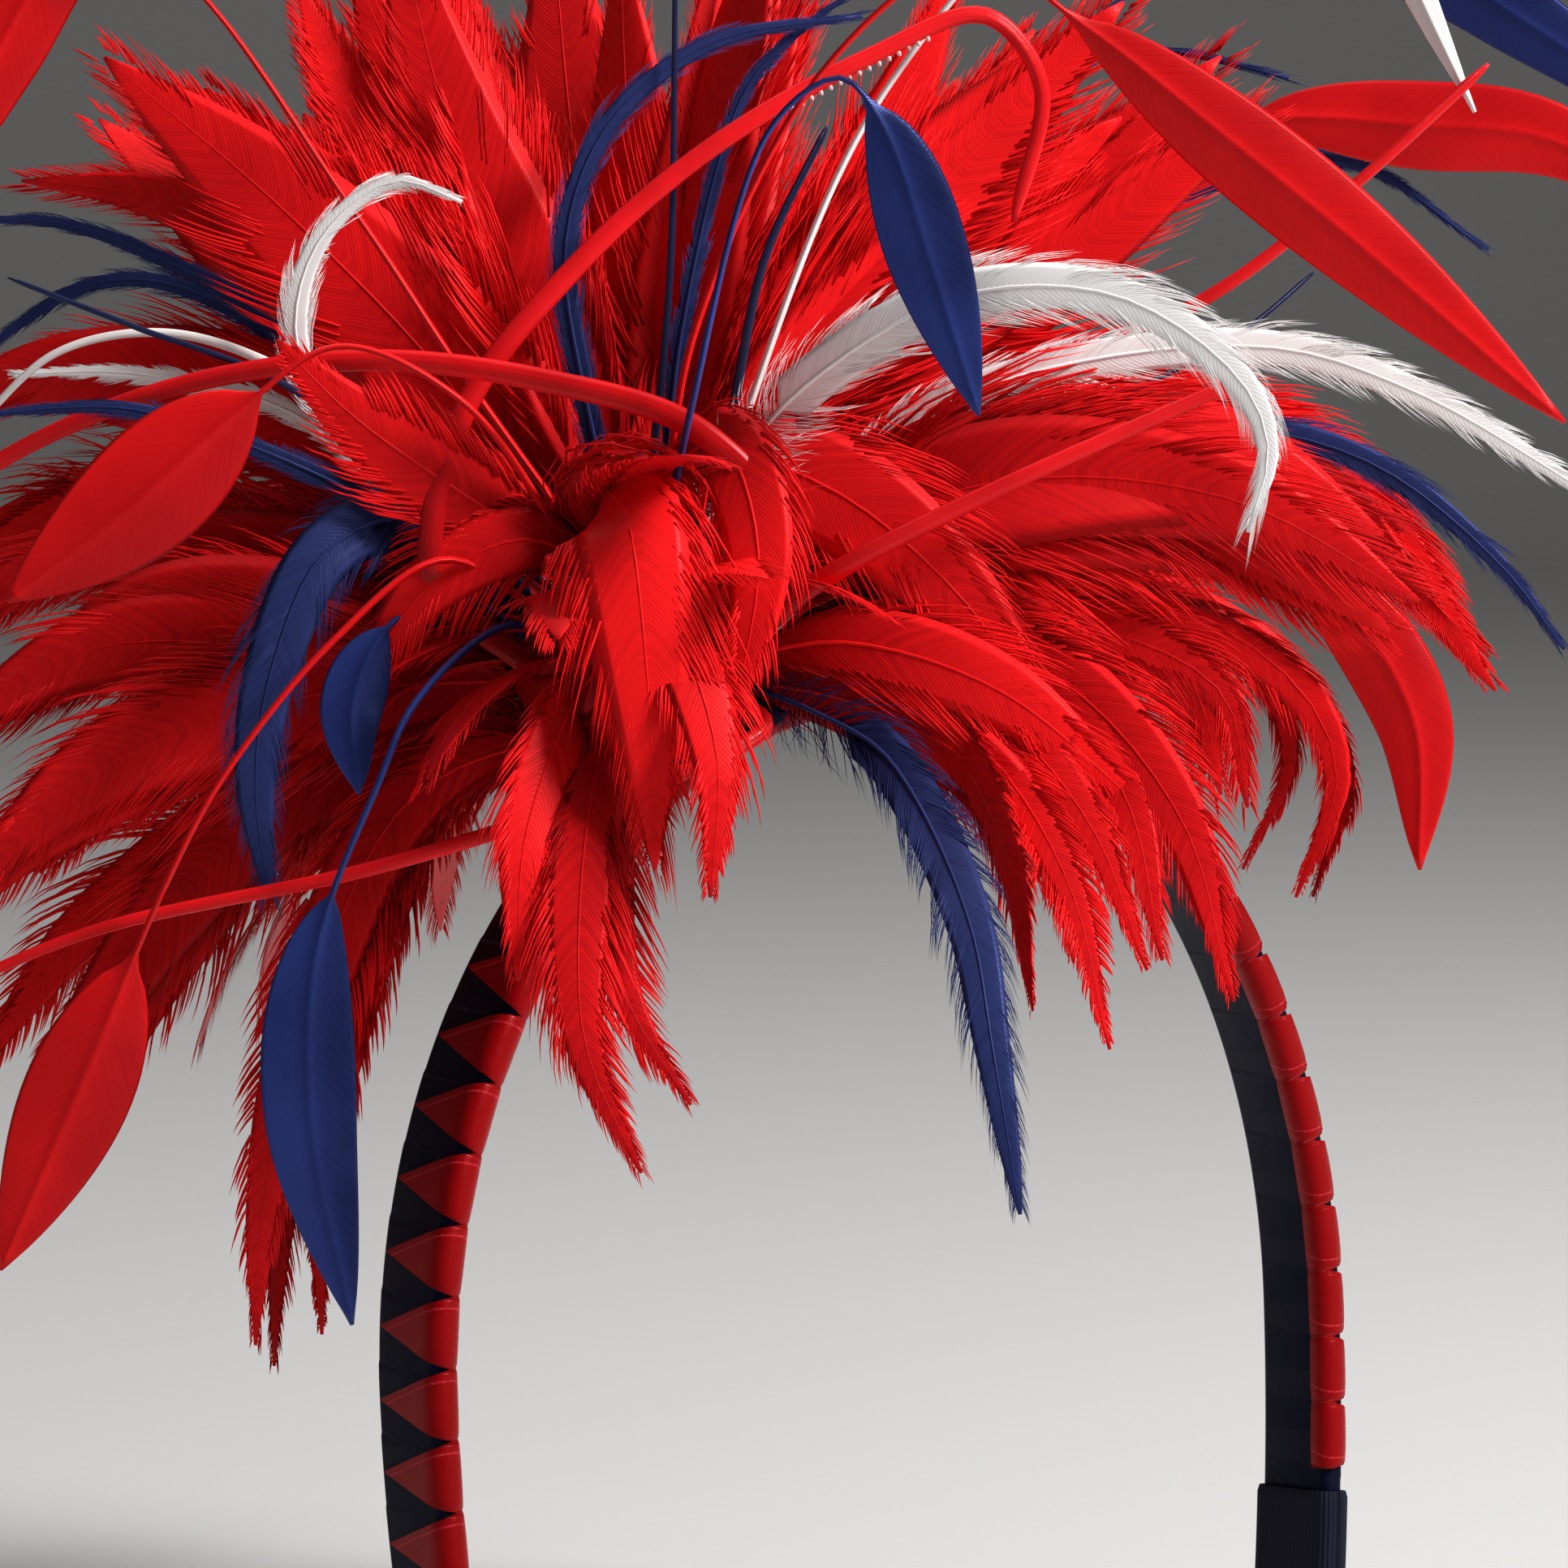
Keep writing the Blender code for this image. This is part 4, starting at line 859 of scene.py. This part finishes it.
FUSED = (
    ("low", 14.5, ((36, 1, 6), (60, -6, 16), (78, -26, 30), (86, -53, 46))),
    ("low", 9.5, ((36, -8, 10), (50, -17, 22), (62, -36, 42), (68, -60, 58))),
    ("low", 13.0, ((-6, -18, 34), (-9, -40, 44), (-8, -60, 50), (0, -78, 54))),
    ("low", 11.0, ((-34, -24, 14), (-50, -60, 14), (-55, -84, 12), (-56, -103, 10))),
    ("low", 14.5, ((-50, -22, 4), (-80, -56, 4), (-92, -80, 2))),
    ("low", 17.0, ((60, 2, 4), (84, -8, 6), (88, -25, 6))),
    ("low", 9.5, ((70, 6, -8), (94, -6, -10), (101, -20, -10), (95, -38, -10))),
    ("middle", 29.0, ((50, 22, 10), (85, 20, 10), (113, 5, 8))),
    ("middle", 19.0, ((60, 29, -25), (100, 22, -28), (124, -8, -28))),
    ("middle", 21.5, ((-50, -9, 8), (-80, -20, 10), (-100, -40, 10))),
    ("middle", 21.5, ((-50, -2, 3), (-80, -2, 3), (-104, -16, 2))),
    ("middle", 21.5, ((-50, 8, -28), (-86, 16, -34), (-112, 0, -36))),
    ("crown", 21.5, ((-6, 20, 18), (-2, 17, 36), (1, -8, 43), (2, -34, 43))),
    ("crown", 26.5, ((-26, 34, 4), (-50, 60, 4), (-78, 84, 2))),
    ("crown", 24.0, ((-14, 40, 1), (-28, 74, -1), (-36, 106, -3))),
    ("crown", 29.0, ((22, 40, -4), (44, 66, -8), (70, 92, -12))),
    ("crown", 26.5, ((34, 36, -12), (62, 56, -12), (90, 76, -13))),
)
RING_COLUMNS = ("mass", "azimuths", "root_rise", "tip_rise", "length", "width")
RINGS = (
    ("low", (38, 66, 98, 130, 162), 4, -52, 96, 25),
    ("middle", (68, 92, 116, 140), 28, -12, 106, 27),
    ("crown", (50, 78, 104, 122), 52, 34, 110, 26),
    ("crown", (91,), 70, 62, 104, 25),
)
BROAD_SPREAD, BROAD_SPACING = 1.22, 0.74 * MM
BROAD_SHAFT, RUFF_SHAFT = 0.30 * MM, 0.35 * MM
FUSED_STEPS, RING_STEPS = 60, 60
DRIFT, SINK, AZIMUTH_SLACK, RISE_SLACK = 4.6 * MM, 3.0 * MM, 11, 9
KNOT_RINGS, KNOT_SIDES, KNOT_STRANDS, KNOT_INSET = 9, 48, 16, 0.97


def broad_feather(heap, line, facing, width, bare, rng, thick, light):
    """Adds one broad feather to a heap: shaft, inner sheet and barbs, more open or closed by chance."""
    frames = line_frames(line, facing)
    tone = light + 0.14 * rng.normal()
    lean = (31 + 4 * rng.normal(), 15 + 2 * rng.normal())
    camber = 0.16 * rng.random()
    inner = 0.50 + 0.28 * rng.random()

    def half_at(share):
        return width * MM / 2 * BROAD_SPREAD * vane_share("broad", share, bare * 0.5)

    barbs(heap, line, frames, half_at, bare * 0.5, BROAD_SPACING, lean, rng, tone, bare * 0.8,
          0.25 * rng.random(), camber, 0.85 * barb_turn(inner, BARB_BEND))
    vane_sheet(heap, line, *frames[1:], half_at, inner, camber, tone)
    shaft(heap, line, *frames[1:], thick, tone - 0.05)


def knot_slice(heap, low, high):
    """Adds a slice of the flattened knot, painted dark as shade: rings about the pad's axis between two
    shares of its height.
    """
    turns = np.linspace(math.acos(1 - 2 * low), math.acos(1 - 2 * high), KNOT_RINGS)
    share = (1 - np.cos(turns)) / 2
    radius = np.maximum(KNOT_RADIUS * np.sin(turns), 0.4 * MM) * KNOT_INSET
    centre = KNOT_FOOT + PAD_AXIS * (share * KNOT_HEIGHT)[:, None]
    level = np.tile([math.cos(PAD_TILT), 0.0, math.sin(PAD_TILT)], (KNOT_RINGS, 1))
    angle = np.linspace(0, 2 * math.pi, KNOT_SIDES, endpoint=False)
    wound = (1 + 0.02 * np.sin(angle * KNOT_STRANDS)) * radius[:, None]
    cross = np.cross(PAD_AXIS, level)
    heap.add(*sweep(section_rings(centre, level, cross, np.cos(angle) * wound, np.sin(angle) * wound)), 0.05)


def fused_line(route, middle, radius):
    """The centre line of a broad feather rooted inside a slice of the knot."""
    outward = route[0] - middle
    outward = unit(outward - PAD_AXIS * (outward @ PAD_AXIS))
    return smooth_route([middle + outward * radius * ROOT_SHARE, *route], FUSED_STEPS)


def radial_at(angle):
    """The direction out from the pad's axis at an angle from the eye's right."""
    level = unit(SIGHT_RIGHT - PAD_AXIS * (SIGHT_RIGHT @ PAD_AXIS))
    return level * math.cos(angle) + np.cross(PAD_AXIS, level) * math.sin(angle)


def risen_line(start, radial, rises, length):
    """A line from a start that climbs at each of the rises in turn, and the way its upper face looks."""
    cosine, sine = np.cos(rises)[:, None], np.sin(rises)[:, None]
    steps = (radial * cosine + PAD_AXIS * sine)[:-1]
    line = start + np.vstack([np.zeros(3), np.cumsum(steps, axis=0)]) * length / len(steps)
    return line, PAD_AXIS * cosine - radial * sine


def fused_feathers(heap, mass, middle, radius, rng):
    """The feathers of the mass's CAD solid, each with companions that stand a few millimetres off it."""
    for row in rows_of(FUSED_COLUMNS, FUSED):
        for copy in range(mass["copies"] if row["mass"] == mass["mass"] else 0):
            route = np.array([placed(step) for step in row["route"]])
            drift = rng.normal(0, 1, 3) * DRIFT * (copy > 0)
            drift = drift - SIGHT_BACK * (drift @ SIGHT_BACK + SINK) * (copy > 0)
            route = route + drift * np.linspace(0.4, 1.3, len(route))[:, None]
            size = 1.0 if copy == 0 else 0.8 + 0.25 * rng.random()
            route = middle + (route - middle) * (1.0 if copy == 0 else 0.86 + 0.12 * rng.random())
            line = fused_line(route, middle, radius)
            facing = EYE - line + rng.normal(0, 0.35, 3) * (copy > 0)
            broad_feather(heap, line, facing, row["width"] * size, 0.12, rng, BROAD_SHAFT, mass["light"])


def ring_feathers(heap, mass, middle, radius, rng):
    """The feathers that stand round the knot: each leaves it at its root rise and bends to its tip rise."""
    for row in rows_of(RING_COLUMNS, RINGS):
        copies = mass["ring_copies"] if row["mass"] == mass["mass"] else 0
        for number, azimuth in enumerate(np.repeat(row["azimuths"], copies)):
            loose = float(number % copies > 0)
            radial = radial_at(math.radians(azimuth + loose * rng.normal(0, AZIMUTH_SLACK)))
            root = row["root_rise"] + loose * rng.normal(0, RISE_SLACK)
            tip = row["tip_rise"] + loose * rng.normal(0, RISE_SLACK)
            length = row["length"] * MM * (1 - 0.18 * loose * rng.random())
            rises = np.radians(np.linspace(root, tip, RING_STEPS + 1))
            line, faces = risen_line(middle + radial * radius * ROOT_SHARE, radial, rises, length)
            width = row["width"] * (1 - 0.15 * loose * rng.random())
            broad_feather(heap, line, faces, width, 0.15, rng, BROAD_SHAFT, mass["light"])


def spray(mass, seed):
    """One mass of the spray: its slice of the knot, the feathers of its solid and those round the knot."""
    rng = np.random.default_rng(seed)
    share = (mass["low"] + mass["high"]) / 2
    middle = KNOT_FOOT + PAD_AXIS * share * KNOT_HEIGHT
    radius = KNOT_RADIUS * math.sqrt(1 - (2 * share - 1) ** 2)
    heap = Heap()
    knot_slice(heap, mass["low"], mass["high"])
    fused_feathers(heap, mass, middle, radius, rng)
    ring_feathers(heap, mass, middle, radius, rng)
    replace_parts(heap.build("spray_" + mass["mass"], BARB_LOOKS["red"]), "plume_" + mass["mass"])


for number, row in enumerate(rows_of(MASS_COLUMNS, MASSES)):
    spray(row, 11 + number)

# The heart of the spray: short broad feathers in the same red, set round the knot in a spiral of equal
# turns, and longer ones that hang over the bound roots or close a hole in the spray, each a width and a
# route. All of them are one object.
RUFF_COUNT, RUFF_SEED, RUFF_TURN, RUFF_STEPS = 20, 5, 2.399963, 40
RUFF_TOP, RUFF_OUT, RUFF_UP, RUFF_LENGTH, RUFF_WIDTH = 0.92, 0.7, 0.4, (32, 20), (15, 5)
COVER_STEPS, HEART_LIGHT = 50, 0.74
COVERS = (
    (20.0, ((2, 18, 8), (12, 26, 17), (28, 21, 18), (46, 6, 19), (60, -14, 20))),
    (13.0, ((4, 24, 10), (12, 28, 27), (17, 12, 36), (13, -14, 40))),
    (12.0, ((2, -8, 20), (6, -2, 38), (11, -18, 46), (10, -38, 48))),
    (16.0, ((-5, 9, 12), (-17, 14, 19), (-30, 8, 20), (-42, -8, 17))),
    (16.0, ((14, -3, 12), (30, -1, 18), (52, -8, 24), (74, -26, 26))),
    (14.0, ((12, -6, 8), (32, -10, 16), (52, -22, 26), (66, -44, 32))),
    (11.0, ((-6, -4, 20), (-11, -12, 34), (-17, -30, 42), (-18, -50, 44))),
    (22.0, ((-12, 12, -8), (-50, 32, -16), (-84, 38, -20), (-106, 32, -22))),
    (20.0, ((-10, 16, -8), (-44, 52, -16), (-72, 64, -20), (-90, 66, -22))),
    (21.0, ((2, 14, -6), (5, 42, -12), (9, 72, -17), (11, 100, -21))),
    (20.0, ((8, 14, -8), (22, 46, -16), (38, 78, -22), (46, 98, -26))),
    (18.0, ((8, 15, -6), (25, 46, -12), (44, 72, -17), (57, 88, -20))),
    (15.0, ((-8, 10, 11), (-25, 20, 19), (-42, 32, 23), (-53, 43, 24))),
    (20.0, ((-14, -6, -6), (-50, -22, -12), (-82, -44, -16), (-97, -64, -18))),
    (18.0, ((-14, 4, -4), (-52, 12, -10), (-86, 10, -13), (-108, -4, -14))),
)


def ruff():
    """The short feathers start on an oval inside the knot, the later the steeper, and bend down outwards.

    The longer ones follow their routes.
    """
    rng = np.random.default_rng(RUFF_SEED)
    heap = Heap()
    for number in range(RUFF_COUNT):
        rise = math.asin(RUFF_TOP * (number + 0.5) / RUFF_COUNT)
        radial = radial_at(number * RUFF_TURN + rng.normal(0, 0.15))
        out, up = KNOT_RADIUS * RUFF_OUT * math.cos(rise), KNOT_HEIGHT * RUFF_UP * math.sin(rise)
        length = (RUFF_LENGTH[0] + RUFF_LENGTH[1] * rng.random()) * MM
        rises = rise + np.linspace(0.25, -0.7 - 0.7 * rng.random(), RUFF_STEPS + 1)
        line, upper = risen_line(KNOT + radial * out + PAD_AXIS * up, radial, rises, length)
        facing = upper + rng.normal(0, 0.3, 3)
        width = RUFF_WIDTH[0] + RUFF_WIDTH[1] * rng.random()
        broad_feather(heap, line, facing, width, 0.05, rng, RUFF_SHAFT, HEART_LIGHT)
    for width, route in COVERS:
        line = smooth_route([placed(step) for step in route], COVER_STEPS)
        facing = EYE - line + rng.normal(0, 0.15, 3)
        broad_feather(heap, line, facing, width, 0.1, rng, RUFF_SHAFT, HEART_LIGHT)
    heap.build("spray_heart", BARB_LOOKS["red"])


ruff()

# Setting: a plain pale floor that curves up behind, soft light from the wearer's left and above,
# and the camera in front of the wearer's right temple.
FLOOR_DROP, FLOOR_NEAR, FLOOR_FAR, FLOOR_HALF = 150.0 * MM, 6.0, 3.0, 7.0
WALL_BEND, WALL_TOP, PAPER = 1.2, 7.0, (0.64, 0.63, 0.62)


def backdrop():
    """A floor that runs back from the eye and curves up into a wall, in a quarter circle."""
    turn = np.linspace(0, math.pi / 2, 24)
    reach = np.concatenate([[-FLOOR_NEAR], FLOOR_FAR + WALL_BEND * np.sin(turn), [FLOOR_FAR + WALL_BEND]])
    rise = np.concatenate([[0.0], WALL_BEND * (1 - np.cos(turn)), [WALL_TOP]])
    middles = -SIGHT_LEVEL * reach[:, None] + np.array([0.0, 0.0, 1.0]) * (rise - FLOOR_DROP)[:, None]
    edge = SIGHT_RIGHT * FLOOR_HALF
    points = np.stack([middles - edge, middles + edge], 1).reshape(-1, 3)
    faces = [(2 * i, 2 * i + 1, 2 * i + 3, 2 * i + 2) for i in range(len(middles) - 1)]
    mesh = bpy.data.meshes.new("backdrop")
    mesh.from_pydata(points.tolist(), [], faces)
    mesh.shade_smooth()
    look, tree, shader = principled("backdrop_paper", PAPER, 0.9)
    mesh.materials.append(look)
    made = bpy.data.objects.new("backdrop", mesh)
    bpy.context.scene.collection.objects.link(made)


def area_light(name, place, size, power, colour=(1.0, 1.0, 1.0)):
    """A soft square light at a place, looking at the middle of the spray."""
    data = bpy.data.lights.new(name, "AREA")
    data.size, data.energy, data.color = size, power, colour
    made = bpy.data.objects.new(name, data)
    made.location = place
    heading = unit(place - KNOT)
    made.rotation_euler = Vector(heading).to_track_quat("Z", "Y").to_euler()
    bpy.context.scene.collection.objects.link(made)


backdrop()
area_light("key", KNOT + SIGHT_RIGHT * 1.0 + SIGHT_TOP * 0.9 + SIGHT_BACK * 0.45, 0.4, 33.0)
area_light("top", KNOT + SIGHT_TOP * 1.4 - SIGHT_BACK * 0.2, 1.0, 4.0)
area_light("fill", KNOT - SIGHT_RIGHT * 1.2 + SIGHT_TOP * 0.2 + SIGHT_BACK * 0.9, 1.2, 0.9, (0.95, 0.97, 1.0))
world = bpy.data.worlds.new("studio")
world.use_nodes = True
sky = world.node_tree.nodes["Background"]
sky.inputs["Color"].default_value = (1.0, 1.0, 1.0, 1.0)
sky.inputs["Strength"].default_value = 0.07
bpy.context.scene.world = world

lens = bpy.data.cameras.new("view")
lens.sensor_width = 36.0
lens.lens = 158.4
lens.clip_start, lens.clip_end = 0.05, 30.0
camera = bpy.data.objects.new("view", lens)
camera.location = EYE
camera.rotation_euler = Vector(SIGHT_BACK).to_track_quat("Z", "Y").to_euler()
bpy.context.scene.collection.objects.link(camera)
bpy.context.scene.camera = camera
bpy.context.scene.view_settings.view_transform = "Standard"
